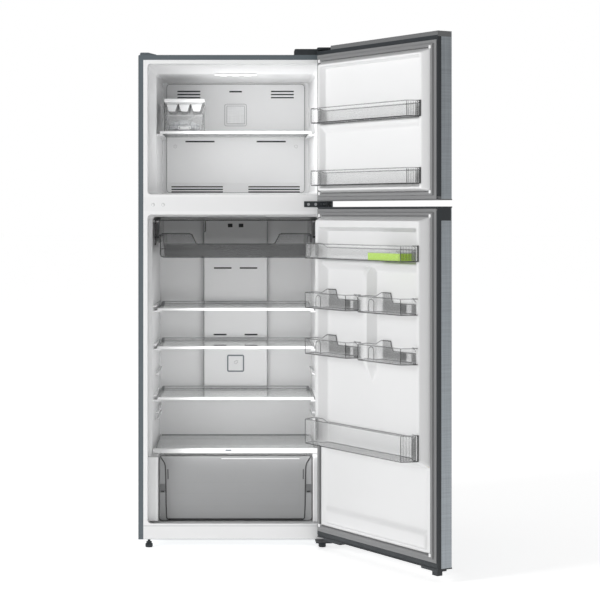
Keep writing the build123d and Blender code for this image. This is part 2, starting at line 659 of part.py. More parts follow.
def freezer_liner_solids():
    """Door liner's full volume and the foam core that fills its raised frame."""
    s0, s1, z0, z1 = LINER_S0, LINER_S1, 1275.0, 1741.0
    crest, base = FREEZER_CREST_T, DOOR_IN
    full = door_taper((base, s0, s1, z0, z1), (crest, s0 + 19, s1 - 19, z0 + 8, z1 - 13))
    pocket = door_taper(
        (crest - 1, s0 + 28, s1 - 28, z0 + 16, z1 - 20),
        (PANEL_T, s0 + 38, s1 - 38, z0 + 22, z1 - 27),
    )
    core = door_taper(
        (base, s0 + 2, s1 - 2, z0 + 2, z1 - 2),
        (crest + 2, s0 + 21, s1 - 21, z0 + 10, z1 - 15),
    )
    core -= door_taper(
        (crest - 1, s0 + 26, s1 - 26, z0 + 14, z1 - 18),
        (PANEL_T + 2, s0 + 36, s1 - 36, z0 + 20, z1 - 25),
    )
    ledge = door_block(s0 + 37, s1 - 37, -56, PANEL_T, 1497, 1508)
    return full - pocket, core, ledge


def fridge_liner_solids():
    """Same for the fresh food door, whose raised frame stops above the crisper."""
    s0, s1, z0, z1 = LINER_S0, LINER_S1, FRIDGE_LINER_BOTTOM, 1192.0
    low, base, crest = 368.0, DOOR_IN, FRIDGE_CREST_T
    full = door_taper((base, s0, s1, low, z1), (crest, s0 + 17, s1 - 17, low + 26, z1 - 14))
    full -= door_taper(
        (crest - 1, s0 + 32, s1 - 32, 200, z1 - 38),
        (PANEL_T, s0 + 54, s1 - 48, 200, z1 - 51),
    )
    core = door_taper(
        (base, s0 + 2, s1 - 2, low + 2, z1 - 2),
        (crest + 2, s0 + 19, s1 - 19, low + 28, z1 - 16),
    )
    core -= door_taper(
        (crest - 1, s0 + 30, s1 - 30, 200, z1 - 36),
        (PANEL_T + 2, s0 + 52, s1 - 46, 200, z1 - 49),
    )
    lower = door_block(s0, s1, -34, base, z0, low + 2)
    lower -= door_block(s0 + 32, s1 - 16, -40, -31, z0 + 72, low + 10)
    lower += door_taper(
        (base, s0 + 34, s1 - 16, z0 + 10, z0 + 74),
        (-42, s0 + 40, s1 - 22, z0 + 18, z0 + 60),
    )
    rib = door_taper(
        (PANEL_T + 1, RIB_S - RIB_HALF_BASE, RIB_S + RIB_HALF_BASE, 626, 1028),
        (RIB_T, RIB_S - RIB_HALF_CREST, RIB_S + RIB_HALF_CREST, 697, 1004),
    )
    ledge = door_block(s0 + 53, s1 - 47, -58, PANEL_T, 1026, 1036)
    return full, core, [lower, rib, ledge]


def liner_flange(z0, z1):
    """Flat edge of the door liner under the seal."""
    return door_block(LINER_S0 - 29, LINER_S1 + 29, DOOR_IN, DOOR_IN + LINER_T, z0, z1)


def freezer_door():
    z0, z1 = FREEZER_DOOR_Z
    cap_z = z1 - 18
    notch = hinge_notch()
    skin = door_skin(z0 + 4, z1, cap_z) - notch
    full, core, ledge = freezer_liner_solids()
    flange = liner_flange(z0 + CAP_T, cap_z) - notch
    liner = full - core + ledge + flange - door_block(10, 643, DOOR_IN - 0.1, DOOR_IN + 5, 1277, 1739)
    inner = door_block(DOOR_S0 + SHEET, DOOR_S1 - SHEET, DOOR_IN + LINER_T, DOOR_OUT - SHEET, z0 + 4, z1)
    inner = fillet(inner.edges().filter_by(Axis.Z).group_by(Axis.Y)[0], DOOR_CORNER_R - SHEET)
    bushing = door_block(DOOR_S0 + SHEET, NOTCH_S, -60, 60, NOTCH_Z - 24, NOTCH_Z)
    top_cap = inner & door_block(-40, 800, -60, 60, cap_z, z1)
    top_cap += door_block(DOOR_S1 - SHEET, DOOR_S1, DOOR_IN, DOOR_OUT - 5, cap_z, z1)
    top_cap += door_block(NOTCH_S, DOOR_S1, DOOR_IN, DOOR_IN + LINER_T, cap_z, z1)
    top_cap = top_cap - notch + (inner & bushing)
    top_cap += inner & door_block(NOTCH_S - 6, NOTCH_S, -60, 60, cap_z - 20, NOTCH_Z)
    top_cap += inner & door_block(NOTCH_S - 6, NOTCH_S + 6, -60, 60, NOTCH_Z - 24, cap_z + 2)
    bottom_cap = inner & door_block(-40, 800, -60, 60, z0, z0 + CAP_T)
    bottom_cap += door_block(DOOR_S0, DOOR_S1, DOOR_IN, DOOR_OUT, z0, z0 + 4)
    bottom_cap += inner & door_block(-40, 30, -60, 60, z0 + 4, z0 + 24)
    bottom_cap -= door_block(HANDLE_S + 10, DOOR_S1 - 12, -12, 18, z0 - 1, z0 + 9)
    foam = inner - top_cap - bottom_cap - notch - door_block(-40, 800, -60, 60, z0, z0 + CAP_T)
    caps = [top_cap - pin_hole(1751, 1800), bottom_cap - pin_hole(1240, 1266)]
    save("freezer_door_skin", opened(skin))
    save("freezer_door_liner", opened(liner))
    save("freezer_door_foam", opened(foam + door_foam_fill(1277, 1739) + core))
    save("freezer_door_gasket", opened(gasket(1275.0, 1741.0)))
    save("freezer_door_caps", *[opened(cap) for cap in caps])


def door_foam_fill(z0, z1):
    """Foam that passes through the opening of the liner's flange."""
    return door_block(LINER_S0 + 2, LINER_S1 - 2, DOOR_IN, DOOR_IN + LINER_T, z0, z1)


def fridge_door():
    z0, z1 = FRIDGE_DOOR_Z
    skin = door_skin(z0 + 4, z1 - 4, z1 - HANDLE_H)
    full, core, extras = fridge_liner_solids()
    flange = liner_flange(z0 + CAP_T, z1 - CAP_T)
    flange -= door_block(10, 643, DOOR_IN - 0.1, DOOR_IN + 5, 370, 1190)
    liner = full - core + flange
    for extra in extras:
        liner += extra
    inner = door_block(DOOR_S0 + SHEET, DOOR_S1 - SHEET, DOOR_IN + LINER_T, DOOR_OUT - SHEET, z0 + 4, z1 - 4)
    inner = fillet(inner.edges().filter_by(Axis.Z).group_by(Axis.Y)[0], DOOR_CORNER_R - SHEET)
    handle = inner & door_block(HANDLE_S, 800, -60, 60, z1 - HANDLE_H, z1)
    top_cap = (inner & door_block(-40, 800, -60, 60, z1 - CAP_T, z1)) + handle
    top_cap += inner & door_block(-40, 30, -60, 60, z1 - 24, z1)
    top_cap += door_block(DOOR_S0, DOOR_S1, DOOR_IN, DOOR_OUT, z1 - 4, z1)
    top_cap += door_block(DOOR_S1 - SHEET, DOOR_S1, DOOR_IN, DOOR_OUT - 5, z1 - HANDLE_H, z1)
    top_cap -= door_block(HANDLE_S + 10, DOOR_S1 - 12, -12, 20, z1 - HANDLE_H + 6, z1 + 1)
    bottom_cap = inner & door_block(-40, 800, -60, 60, z0 + 4, z0 + CAP_T)
    bottom_cap += door_block(DOOR_S0, DOOR_S1, DOOR_IN, DOOR_OUT, z0, z0 + 4)
    bottom_cap += inner & door_block(-40, 40, -60, 60, z0 + 4, z0 + 26)
    foam = inner - top_cap - bottom_cap - door_block(HANDLE_S, 800, -60, 60, z1 - HANDLE_H, z1)
    bottom_cap += door_block(16, 118, DOOR_IN, 16, z0 - 8, z0) + door_block(586, 672, DOOR_IN, 10, z0 - 6, z0)
    bottom_cap += door_block(640, 668, DOOR_IN + 4, -4, z0 - 20, z0 - 6)
    caps = [top_cap - pin_hole(1205, 1230), bottom_cap - pin_hole(30, 67)]
    save("fridge_door_skin", opened(skin))
    save("fridge_door_liner", opened(liner))
    save("fridge_door_foam", opened(foam + door_foam_fill(370, 1190) + core))
    save("fridge_door_gasket", opened(gasket(FRIDGE_LINER_BOTTOM, 1192.0)))
    save("fridge_door_caps", *[opened(cap) for cap in caps])


def door_bin(back, ends, front, front_t, step_t, z0, z1):
    """Open bin: narrow at the back between the door's raised edges, wide and chamfered in front."""
    points = [
        (back[0], BIN_BACK_T), (back[1], BIN_BACK_T), (back[1], step_t), (ends[1], step_t),
        (front[1], front_t), (front[0], front_t), (ends[0], step_t), (back[0], step_t),
    ]
    plan = make_face(Polyline(*[(PIN_X - s, PIN_DEPTH - t) for s, t in points], close=True))
    well = offset(plan, -BIN_WALL, kind=Kind.INTERSECTION)
    body = extrude(Pos(0, 0, z0) * plan, amount=z1 - z0)
    return body - extrude(Pos(0, 0, z0 + BIN_WALL) * well, amount=z1 - z0)


def half_bin(back, ends, front, z0, z1):
    """Half-width bin: back wall with a tall tab at the hinge side and low over the rest."""
    body = door_bin(back, ends, front, FRIDGE_BIN_FRONT, -71.5, z0, z1)
    tab = door_block(back[0], back[0] + TAB_WIDTH, BIN_BACK_T - BIN_WALL, BIN_BACK_T, z1, z1 + TAB_RISE)
    side = door_block(back[0], back[0] + BIN_WALL, -71.5, BIN_BACK_T, z1, z1 + TAB_RISE)
    low_start = back[0] + TAB_WIDTH + 6
    cut = door_block(low_start, back[1] - BIN_WALL, -60, BIN_BACK_T + 1, z1 - LOW_BACK_DROP, z1 + 1)
    return body + tab + side - cut


def door_bins():
    wide = ((48, 605), (BIN_END_S0 + 3, 627), (48, 609), FREEZER_BIN_FRONT, -61.5)
    for name, z0 in FREEZER_BIN_BOTTOMS.items():
        save("freezer_bin_" + name, opened(door_bin(*wide, z0, z0 + FREEZER_BIN_H)))
    full = ((65, 594), (BIN_END_S0, BIN_END_S1), (47, 608), FRIDGE_BIN_FRONT, -71.5)
    save("fridge_bin_top", opened(door_bin(*full, *TOP_BIN_Z)))
    save("fridge_bin_bottom", opened(door_bin(*full, *BOTTOM_BIN_Z)))
    for row, (z0, z1) in HALF_BIN_ROWS.items():
        left = half_bin((65, 264), (BIN_END_S0, 312), (47, 296), z0, z1)
        right = half_bin((388, 594), (344, BIN_END_S1), (366, 607), z0, z1)
        save("half_bin_" + row + "_left", opened(left))
        save("half_bin_" + row + "_right", opened(right))


def green_box():
    """Small lidded box that stands in the top door bin."""
    z0 = TOP_BIN_Z[0] + BIN_WALL + 0.4
    box = round_edges(door_block(412, 590, -122, -50, z0, z0 + 24), Axis.Z, 8.0)
    well = round_edges(door_block(414, 588, -120, -52, z0 + 2, z0 + 60), Axis.Z, 6.5)
    lid = round_edges(door_block(411, 591, -123, -49, z0 + 24.3, z0 + 27), Axis.Z, 8.5)
    knob = rod(PIN_X - 545, PIN_DEPTH + 92, z0 + 27, 7.0, 7, (0, 0, 1))
    knob = fillet(knob.edges().group_by(Axis.Z)[-1], 2.0)
    save("green_box", opened(box - well))
    save("green_box_lid", opened(lid + knob))


# ==== write every node ===========================================================================

save("outer_shell", outer_shell())
save("rear_panel", rear_panel())
save("base_pan", base_pan())
save("cabinet_foam", cabinet_foam())
save("freezer_liner", freezer_liner())
save("fridge_liner", fridge_liner())
save("center_rail", center_rail())
save("kick_plate", kick_plate())
save("evaporator_cover", evaporator_cover())
save("evaporator_coil", evaporator_coil())
save("fan_motor", fan_motor())
save("evaporator_fan", evaporator_fan())
save("air_duct_cover", air_duct_cover())
save("vent_badges", badge(1580, COVER_DEPTH, 43), badge(621, DUCT_DEPTH, 33))
save("lamp_lenses", lamp_lens(77, 93, 107, 1710.5), lamp_lens(108, 42, 58, 1189.7))
save("top_hinge", top_hinge())
save("top_hinge_cover", top_hinge_cover())
save("middle_hinge", middle_hinge())
save("bottom_hinge", bottom_hinge())
save("hinge_screws", *hinge_screws())
save("trim_caps", corner_cap(), *trim_plugs())
save("compressor", compressor(), *compressor_mounts())
save("drain_pan", drain_pan())
save("compressor_cover", compressor_cover())
save("power_inlet", power_inlet())
save("foot_left", foot(-1))
save("foot_right", foot(1))
save("rear_rollers", roller(-1), roller(1))
freezer_shelf = shelf(FREEZER_SHELF_HALF, FREEZER_SHELF_FRONT, FREEZER_SHELF_BACK, FREEZER_SHELF_TOP)
save("freezer_shelf", *freezer_shelf)
for number, shelf_top in enumerate(FRIDGE_SHELF_TOPS, 1):
    pieces = shelf(FRIDGE_SHELF_HALF, FRIDGE_SHELF_FRONT, FRIDGE_SHELF_BACK, shelf_top)
    save("fridge_shelf_" + str(number), *pieces)
save("crisper_cover", *crisper_cover())
save("humidity_slider", humidity_slider())
save("crisper_drawer", crisper_drawer())
save("chiller_frame", chiller_frame())
save("chiller_drawer", chiller_drawer())
save("ice_frame", ice_frame())
save("ice_trays", *ice_trays())
save("ice_bin", ice_bin())
freezer_door()
fridge_door()
door_bins()
green_box()
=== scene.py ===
import json
import math

import bmesh
import bpy
import numpy as np
from mathutils import Matrix, Vector


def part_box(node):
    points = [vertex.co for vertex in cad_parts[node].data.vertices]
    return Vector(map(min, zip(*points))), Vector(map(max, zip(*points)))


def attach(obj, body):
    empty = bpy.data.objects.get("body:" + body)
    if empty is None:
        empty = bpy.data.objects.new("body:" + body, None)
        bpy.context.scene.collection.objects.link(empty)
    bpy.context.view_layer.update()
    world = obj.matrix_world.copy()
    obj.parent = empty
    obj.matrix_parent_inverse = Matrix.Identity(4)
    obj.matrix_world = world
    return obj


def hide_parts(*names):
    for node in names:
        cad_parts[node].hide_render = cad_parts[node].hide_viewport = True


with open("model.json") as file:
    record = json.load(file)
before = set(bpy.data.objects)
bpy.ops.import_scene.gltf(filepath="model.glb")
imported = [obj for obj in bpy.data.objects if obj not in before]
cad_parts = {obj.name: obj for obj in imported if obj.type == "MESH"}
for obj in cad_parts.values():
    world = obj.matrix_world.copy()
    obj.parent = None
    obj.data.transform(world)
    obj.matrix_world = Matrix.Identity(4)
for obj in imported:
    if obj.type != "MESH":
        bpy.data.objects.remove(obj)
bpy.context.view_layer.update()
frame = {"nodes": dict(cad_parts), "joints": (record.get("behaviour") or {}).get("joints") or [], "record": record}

MM = 0.001
SCENE = bpy.context.scene
NODES = frame["nodes"]
JOINTS = {joint["name"]: joint for joint in frame["joints"]}


# ==== materials ====


class Surface:
    """One procedural material: a Principled shader with helpers for its patterns."""

    def __init__(self, name, colour, rough, **sockets):
        self.mat = bpy.data.materials.new(name)
        self.mat.use_nodes = True
        self.tree = self.mat.node_tree
        self.shader = self.tree.nodes["Principled BSDF"]
        self.shader.inputs["Base Color"].default_value = (*colour, 1)
        self.shader.inputs["Roughness"].default_value = rough
        for socket, value in sockets.items():
            self.shader.inputs[socket.replace("_", " ")].default_value = value
        self.colour, self.rough = colour, rough
        self.coords = self.tree.nodes.new("ShaderNodeTexCoord").outputs["Object"]

    def link(self, source, target):
        self.tree.links.new(source, target)

    def node(self, kind, **values):
        made = self.tree.nodes.new("ShaderNode" + kind)
        for key, value in values.items():
            if key in made.inputs:
                made.inputs[key].default_value = value
            else:
                setattr(made, key, value)
        return made

    def stretched(self, scale, turn):
        mapping = self.node("Mapping", Scale=scale, Rotation=(0, 0, turn))
        self.link(self.coords, mapping.inputs["Vector"])
        return mapping.outputs["Vector"]

    def noise(self, scale, detail, vector=None):
        noise = self.node("TexNoise", Scale=scale, Detail=detail)
        self.link(vector or self.coords, noise.inputs["Vector"])
        return noise.outputs["Fac"]

    def ramp(self, source, low, high, start=0.3, end=0.7):
        ramp = self.node("ValToRGB")
        ramp.color_ramp.elements[0].position = start
        ramp.color_ramp.elements[0].color = (*low, 1)
        ramp.color_ramp.elements[1].position = end
        ramp.color_ramp.elements[1].color = (*high, 1)
        self.link(source, ramp.inputs["Fac"])
        return ramp.outputs["Color"]

    def spread(self, source, low, high):
        spread = self.node("MapRange", **{"From Min": 0.3, "From Max": 0.7, "To Min": low, "To Max": high})
        self.link(source, spread.inputs["Value"])
        return spread.outputs["Result"]

    def vary_colour(self, scale, amount):
        low = [c * (1 - amount) for c in self.colour]
        high = [min(1.0, c * (1 + amount)) for c in self.colour]
        self.link(self.ramp(self.noise(scale, 4.0), low, high), self.shader.inputs["Base Color"])
        return self

    def vary_rough(self, scale, amount):
        low, high = self.rough - amount, self.rough + amount
        self.link(self.spread(self.noise(scale, 3.0), low, high), self.shader.inputs["Roughness"])
        return self

    def bump(self, height, strength, distance):
        bump = self.node("Bump", Strength=strength, Distance=distance)
        self.link(height, bump.inputs["Height"])
        self.link(bump.outputs["Normal"], self.shader.inputs["Normal"])
        return self


def plastic(name, colour, rough, grain=120.0, depth=0.00003, **sockets):
    """Moulded plastic or paint: faint unevenness of colour and gloss, and a shallow grain."""
    made = Surface(name, colour, rough, **sockets).vary_colour(4.0, 0.006).vary_rough(12.0, 0.02)
    return made.bump(made.noise(grain, 1.0), 0.1, depth).mat


def brushed(name, colour, rough, turn, metallic=1.0, scale=420.0):
    """Steel with fine scratches up and across, as on a cross-hatched sheet."""
    made = Surface(name, colour, rough, Metallic=metallic)
    up = made.noise(1.0, 5.0, made.stretched((scale, scale, 5), turn))
    across = made.noise(1.0, 5.0, made.stretched((7, 7, scale), turn))
    both = made.node("Mix", data_type="FLOAT", Factor=0.5)
    made.link(up, both.inputs["A"])
    made.link(across, both.inputs["B"])
    hatch = both.outputs["Result"]
    low, high = [c * 0.8 for c in colour], [min(1, c * 1.14) for c in colour]
    made.link(made.ramp(hatch, low, high, 0.35, 0.65), made.shader.inputs["Base Color"])
    made.link(made.spread(hatch, rough - 0.06, rough + 0.08), made.shader.inputs["Roughness"])
    return made.bump(hatch, 0.25, 0.00003).mat


def clear(name, colour, opacity, edge, rough=0.08):
    """Thin clear plastic or glass: see-through face on, denser where it turns away."""
    made = Surface(name, colour, rough)
    weight = made.node("LayerWeight", Blend=0.35)
    alpha = made.node("MapRange", **{"To Min": opacity, "To Max": edge})
    made.link(weight.outputs["Facing"], alpha.inputs["Value"])
    made.link(alpha.outputs["Result"], made.shader.inputs["Alpha"])
    made.vary_rough(60.0, 0.03)
    return made.mat


PLASTICS = {
    "cabinet_paint": ((0.095, 0.115, 0.128), 0.42, 400.0),
    "zinc_sheet": ((0.42, 0.44, 0.45), 0.42, 60.0),
    "foam": ((0.75, 0.63, 0.38), 0.85, 300.0, 0.0006),
    "liner_white": ((0.78, 0.782, 0.785), 0.3),
    "door_liner": ((0.735, 0.737, 0.74), 0.3),
    # the fridge door's liner: the same white plastic as the freezer door's, made darker as painted shade
    "shaded_door_liner": ((0.675, 0.677, 0.68), 0.3),
    "trim_white": ((0.75, 0.752, 0.755), 0.32),
    "coil_aluminium": ((0.6, 0.61, 0.62), 0.35, 500.0),
    "motor_black": ((0.03, 0.03, 0.032), 0.5),
    "badge_trim": ((0.16, 0.18, 0.2), 0.3),
    "lamp_diffuser": ((0.86, 0.87, 0.88), 0.3),
    "hinge_steel": ((0.02, 0.024, 0.028), 0.42, 300.0),
    "screw_steel": ((0.4, 0.41, 0.42), 0.32, 500.0),
    "dark_plastic": ((0.016, 0.02, 0.024), 0.46),
    "compressor_black": ((0.02, 0.02, 0.022), 0.3, 500.0, 0.00005),
    "gasket_grey": ((0.205, 0.207, 0.21), 0.6),
    "lime_plastic": ((0.34, 0.56, 0.012), 0.3),
    "clip_grey": ((0.22, 0.225, 0.23), 0.4),
    "seam_grey": ((0.42, 0.425, 0.43), 0.5),
    "cap_grey": ((0.13, 0.133, 0.136), 0.45),
    "grip_grey": ((0.14, 0.143, 0.146), 0.35),
    "tray_white": ((0.62, 0.625, 0.63), 0.3),
    "duct_edge": ((0.3, 0.305, 0.31), 0.4),
    "lamp_glow": ((0.9, 0.9, 0.9), 0.3),
    "lamp_spot": ((0.95, 0.95, 0.95), 0.3),
    # near-black backing for the vent slots: painted shadow
    "vent_painted_shadow": ((0.03, 0.031, 0.032), 0.6),
}
SPECIAL_SOCKETS = {
    "zinc_sheet": {"Metallic": 0.9}, "coil_aluminium": {"Metallic": 0.9}, "screw_steel": {"Metallic": 1.0},
    "lamp_glow": {"Emission_Color": (1, 1, 1, 1), "Emission_Strength": 0.12},
    "lamp_spot": {"Emission_Color": (1, 1, 1, 1), "Emission_Strength": 1.0},
}
CLEARS = {
    "smoky_plastic": ((0.14, 0.142, 0.144), 0.37, 0.9),
    "shelf_glass": ((0.62, 0.64, 0.635), 0.05, 0.4),
    "ice_plastic": ((0.6, 0.61, 0.615), 0.12, 0.6),
    "clear_plastic": ((0.85, 0.86, 0.865), 0.015, 0.2),
    "clear_edge": ((0.03, 0.031, 0.033), 0.82, 0.97),
    "lid_plastic": ((0.6, 0.64, 0.6), 0.25, 0.9),
    "glass_edge": ((0.13, 0.135, 0.135), 0.5, 0.85),
    "shelf_rail": ((0.45, 0.46, 0.46), 0.3, 0.8),
    "crisper_clear": ((0.5, 0.505, 0.51), 0.5, 0.75),
    "tub_clear": ((0.5, 0.505, 0.51), 0.06, 0.5),
    "ridge_light": ((0.6, 0.605, 0.61), 0.4, 0.6),
    "hood_smoke": ((0.42, 0.425, 0.43), 0.12, 0.6),
    # faint grey sheets in the door bins: painted shade over their floors and hinge ends
    "bin_painted_shade": ((0.36, 0.365, 0.37), 0.05, 0.24),
    "frosted": ((0.42, 0.43, 0.435), 0.45, 0.8, 0.5),
    "seam_dark": ((0.02, 0.021, 0.022), 0.9, 0.98),
    "ice": ((0.85, 0.87, 0.89), 0.45, 0.95, 0.2),
}
MATERIALS = {slot: clear(slot, *values) for slot, values in CLEARS.items()}
for slot, values in PLASTICS.items():
    MATERIALS[slot] = plastic(slot, *values, **SPECIAL_SOCKETS.get(slot, {}))
MATERIALS["brushed_steel"] = brushed("brushed_steel", (0.35, 0.38, 0.405), 0.38, math.radians(31.3))
MATERIALS["brushed_plate"] = brushed("brushed_plate", (0.82, 0.825, 0.83), 0.35, 0.0, 0.35, 900.0)


def dress_nodes():
    """Give every CAD node its record slot's material."""
    special = {"freezer_door_caps": "cap_grey"}
    for entry in frame["record"]["subparts"]:
        data = NODES[entry["node"]].data
        data.materials.clear()
        data.materials.append(MATERIALS[special.get(entry["node"], entry["material_slot"])])


# ==== the two working spaces ====


def door_axes(joint):
    """Pin position and the directions of s (pin to free edge) and t (out of the door's front)."""
    pin, turn = Vector(joint["pos_m"]), math.radians(-joint["range_deg"][0])
    return pin, Vector((-math.cos(turn), -math.sin(turn), 0)), Vector((math.sin(turn), -math.cos(turn), 0))


PIN, ALONG, OUT = door_axes(JOINTS["fridge_door_hinge"])
DOOR = Matrix((
    (ALONG.x, OUT.x, 0, PIN.x), (ALONG.y, OUT.y, 0, PIN.y), (0, 0, 1, 0), (0, 0, 0, 1),
))
CABINET = Matrix.Translation((0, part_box("outer_shell")[0].y, 0))


def box_in(node, space=CABINET):
    """Lowest and highest corner of a CAD node in one of the working spaces, in millimetres."""
    inverse = space.inverted()
    points = np.array([inverse @ vertex.co for vertex in NODES[node].data.vertices]) / MM
    low, high = points.min(0), points.max(0)
    return low[0], high[0], low[1], high[1], low[2], high[2]


# ==== mesh building ====


def to_metres(points):
    return [tuple(c * MM for c in point) for point in points]


class Shape:
    """Collects rings, plates and extrusions, in millimetres, into one mesh."""

    def __init__(self):
        self.points, self.faces, self.slots = [], [], []

    def add(self, points, faces, slot=0):
        start = len(self.points)
        self.points += [tuple(point) for point in points]
        self.faces += [tuple(start + i for i in face) for face in faces]
        self.slots += [slot] * len(faces)
        return self

    def rings(self, rings, caps=(True, True), slot=0, loop=False):
        """Skin through closed rings of equal length; loop joins the last ring to the first."""
        count = len(rings[0])
        points = [point for ring in rings for point in ring]
        faces = []
        steps = len(rings) if loop else len(rings) - 1
        for i in range(steps):
            low, high = i * count, (i + 1) % len(rings) * count
            for j in range(count):
                k = (j + 1) % count
                faces.append((low + j, low + k, high + k, high + j))
        if caps[0] and not loop:
            faces.append(tuple(reversed(range(count))))
        if caps[1] and not loop:
            last = (len(rings) - 1) * count
            faces.append(tuple(range(last, last + count)))
        return self.add(points, faces, slot)

    def box(self, x0, x1, y0, y1, z0, z1, slot=0):
        return self.prism(rectangle(x0, x1, y0, y1), z0, z1, slot)

    def prism(self, plan, z0, z1, slot=0):
        return self.rings([[(x, y, z) for x, y in plan] for z in (z0, z1)], slot=slot)

    def across(self, profile, x0, x1, slot=0):
        """Extrude a profile in Y and Z along X."""
        return self.rings([[(x, y, z) for y, z in profile] for x in (x0, x1)], slot=slot)

    def through(self, outline, y0, y1, slot=0):
        """Extrude an outline in X and Z along Y."""
        return self.rings([[(x, y, z) for x, z in outline] for y in (y0, y1)], slot=slot)

    def stack(self, plan, levels, slot=0, loop=False):
        """Skin through copies of a plan, each moved out by a distance and set at a height."""
        rings = [[(x, y, z) for x, y in offset_plan(plan, distance)] for distance, z in levels]
        return self.rings(rings, slot=slot, loop=loop)

    def tube(self, path, radius, sides=8, slot=0):
        """Round bar along a list of points."""
        path = [Vector(point) for point in path]
        rings = []
        for i, point in enumerate(path):
            ahead = path[min(i + 1, len(path) - 1)] - path[max(i - 1, 0)]
            turn = ahead.to_track_quat("Z", "Y")
            ring = [point + turn @ Vector((a, b, 0)) for a, b in circle(0, 0, radius, sides)]
            rings.append([tuple(spot) for spot in ring])
        return self.rings(rings, slot=slot)

    def piece(self, name, body, slots, space=CABINET, smooth=30, bevel=0.0, replaces=()):
        mesh = bpy.data.meshes.new(name)
        mesh.from_pydata(to_metres(self.points), [], self.faces)
        mesh.polygons.foreach_set("material_index", self.slots)
        tidy = bmesh.new()
        tidy.from_mesh(mesh)
        bmesh.ops.recalc_face_normals(tidy, faces=tidy.faces)
        tidy.to_mesh(mesh)
        tidy.free()
        for slot in slots:
            mesh.materials.append(MATERIALS[slot])
        mesh.shade_smooth()
        mesh.set_sharp_from_angle(angle=math.radians(smooth))
        made = bpy.data.objects.new(name, mesh)
        SCENE.collection.objects.link(made)
        mesh.transform(space)
        soften(made, bevel)
        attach(made, body)
        if replaces:
            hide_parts(*replaces)


def soften(target, width):
    """Narrow bevel on the sharp edges; no modifier for a width of zero."""
    if width:
        bevel = target.modifiers.new("edges", "BEVEL")
        bevel.width, bevel.segments = width * MM, 2
        bevel.limit_method, bevel.angle_limit = "ANGLE", math.radians(40)
        bevel.harden_normals = True
        bevel.miter_outer = "MITER_ARC"


def offset_plan(plan, distance):
    """Move every side of a plan (anticlockwise) outward by a distance."""
    moved, count = [], len(plan)
    for i in range(count):
        before, here, after = plan[i - 1], plan[i], plan[(i + 1) % count]
        first = Vector((here[0] - before[0], here[1] - before[1])).normalized()
        second = Vector((after[0] - here[0], after[1] - here[1])).normalized()
        normal_a, normal_b = Vector((first.y, -first.x)), Vector((second.y, -second.x))
        bisector = normal_a + normal_b
        scale = 2 * distance / max(bisector.length_squared, 0.2)
        moved.append((here[0] + bisector.x * scale, here[1] + bisector.y * scale))
    return moved


def round_plan(plan, radius, steps=4):
    """Replace every corner of a plan by an arc of steps + 1 points."""
    rounded, count = [], len(plan)
    for i in range(count):
        here = Vector(plan[i])
        to_before, to_after = Vector(plan[i - 1]) - here, Vector(plan[(i + 1) % count]) - here
        reach = radius * math.tan((math.pi - to_before.angle(to_after)) / 2)
        reach = min(reach, to_before.length * 0.45, to_after.length * 0.45)
        if reach < 0.01:
            rounded.append(plan[i])
            continue
        a, c = here + to_before.normalized() * reach, here + to_after.normalized() * reach
        for j in range(steps + 1):
            k = j / steps
            point = a * (1 - k) ** 2 + here * (2 * k * (1 - k)) + c * k**2
            rounded.append((point.x, point.y))
    return rounded


def rectangle(x0, x1, y0, y1):
    return [(x0, y0), (x1, y0), (x1, y1), (x0, y1)]


def rounded(x0, x1, y0, y1, radius, steps=5):
    return round_plan(rectangle(x0, x1, y0, y1), radius, steps)


def circle(x, y, radius, count):
    angles = np.linspace(0, math.tau, count + 1)[:-1]
    return [(x + radius * math.cos(angle), y + radius * math.sin(angle)) for angle in angles]


def both_sides(made, near, far, *rest, slot=0):
    """The same box left and right of the middle, between two distances from it."""
    made.box(-far, -near, *rest, slot=slot)
    made.box(near, far, *rest, slot=slot)


def plate(made, outline, y0, y1, slot=0, inset=0.8):
    """Flat plate facing the front, from an anticlockwise outline in X and Z, with an eased edge."""
    rings = [(offset_plan(outline, -inset), y0), (outline, y0 + inset), (outline, y1)]
    return made.rings([[(x, y, z) for x, z in ring] for ring, y in rings], slot=slot)


def ribbon(made, path, width, y0, y1, slot=0, loop=False):
    """Flat bar that follows a path in X and Z, between two depths."""
    rings, count = [], len(path)
    for i, (x, z) in enumerate(path):
        before = path[i - 1] if loop or i else path[i]
        after = path[(i + 1) % count] if loop or i + 1 < count else path[i]
        along = Vector((after[0] - before[0], after[1] - before[1])).normalized()
        nx, nz = -along.y * width / 2, along.x * width / 2
        low, high = (x - nx, z - nz), (x + nx, z + nz)
        rings.append([(p[0], y, p[1]) for p, y in ((low, y0), (high, y0), (high, y1), (low, y1))])
    return made.rings(rings, slot=slot, loop=loop)


# ==== doors ====


def smooth_min(a, b, reach):
    share = np.clip(0.5 + 0.5 * (b - a) / reach, 0, 1)
    return b * (1 - share) + a * share - reach * share * (1 - share)


def smooth_max(a, b, reach):
    return -smooth_min(-a, -b, reach)


def raised(s, z, base, crest, low, high, soft=5.0):
    """Height of a moulded block whose sides slope from a base rectangle up to a crest rectangle."""
    ramps = [(s - base[0]) / (crest[0] - base[0]), (base[1] - s) / (base[1] - crest[1])]
    ramps += [(z - base[2]) / (crest[2] - base[2]), (base[3] - z) / (base[3] - crest[3])]
    ramp = ramps[0]
    for other in ramps[1:]:
        ramp = smooth_min(ramp, other, 0.5)
    height = smooth_min(low + (high - low) * ramp, np.full_like(s, high), soft)
    return smooth_max(height, np.full_like(s, low), soft * 0.6)


def hollow(s, z, rim, floor, high, low):
    """Depth of a moulded pocket; outside its rim the value keeps rising."""
    ramps = [(floor[0] - s) / (floor[0] - rim[0]), (s - floor[1]) / (rim[1] - floor[1])]
    ramps += [(floor[2] - z) / (floor[2] - rim[2]), (z - floor[3]) / (rim[3] - floor[3])]
    ramp = ramps[0]
    for other in ramps[1:]:
        ramp = smooth_max(ramp, other, 0.5)
    return smooth_max(low + (high - low) * ramp, np.full_like(s, low), 6.0)


COARSE, FINE, REACH = 20.0, 2.0, 5.0  # grid steps, and how far the fine steps go from an edge
SHEET, SEAL_WIDTH = 1.8, 26  # thickness of a liner, and width of the seal round it


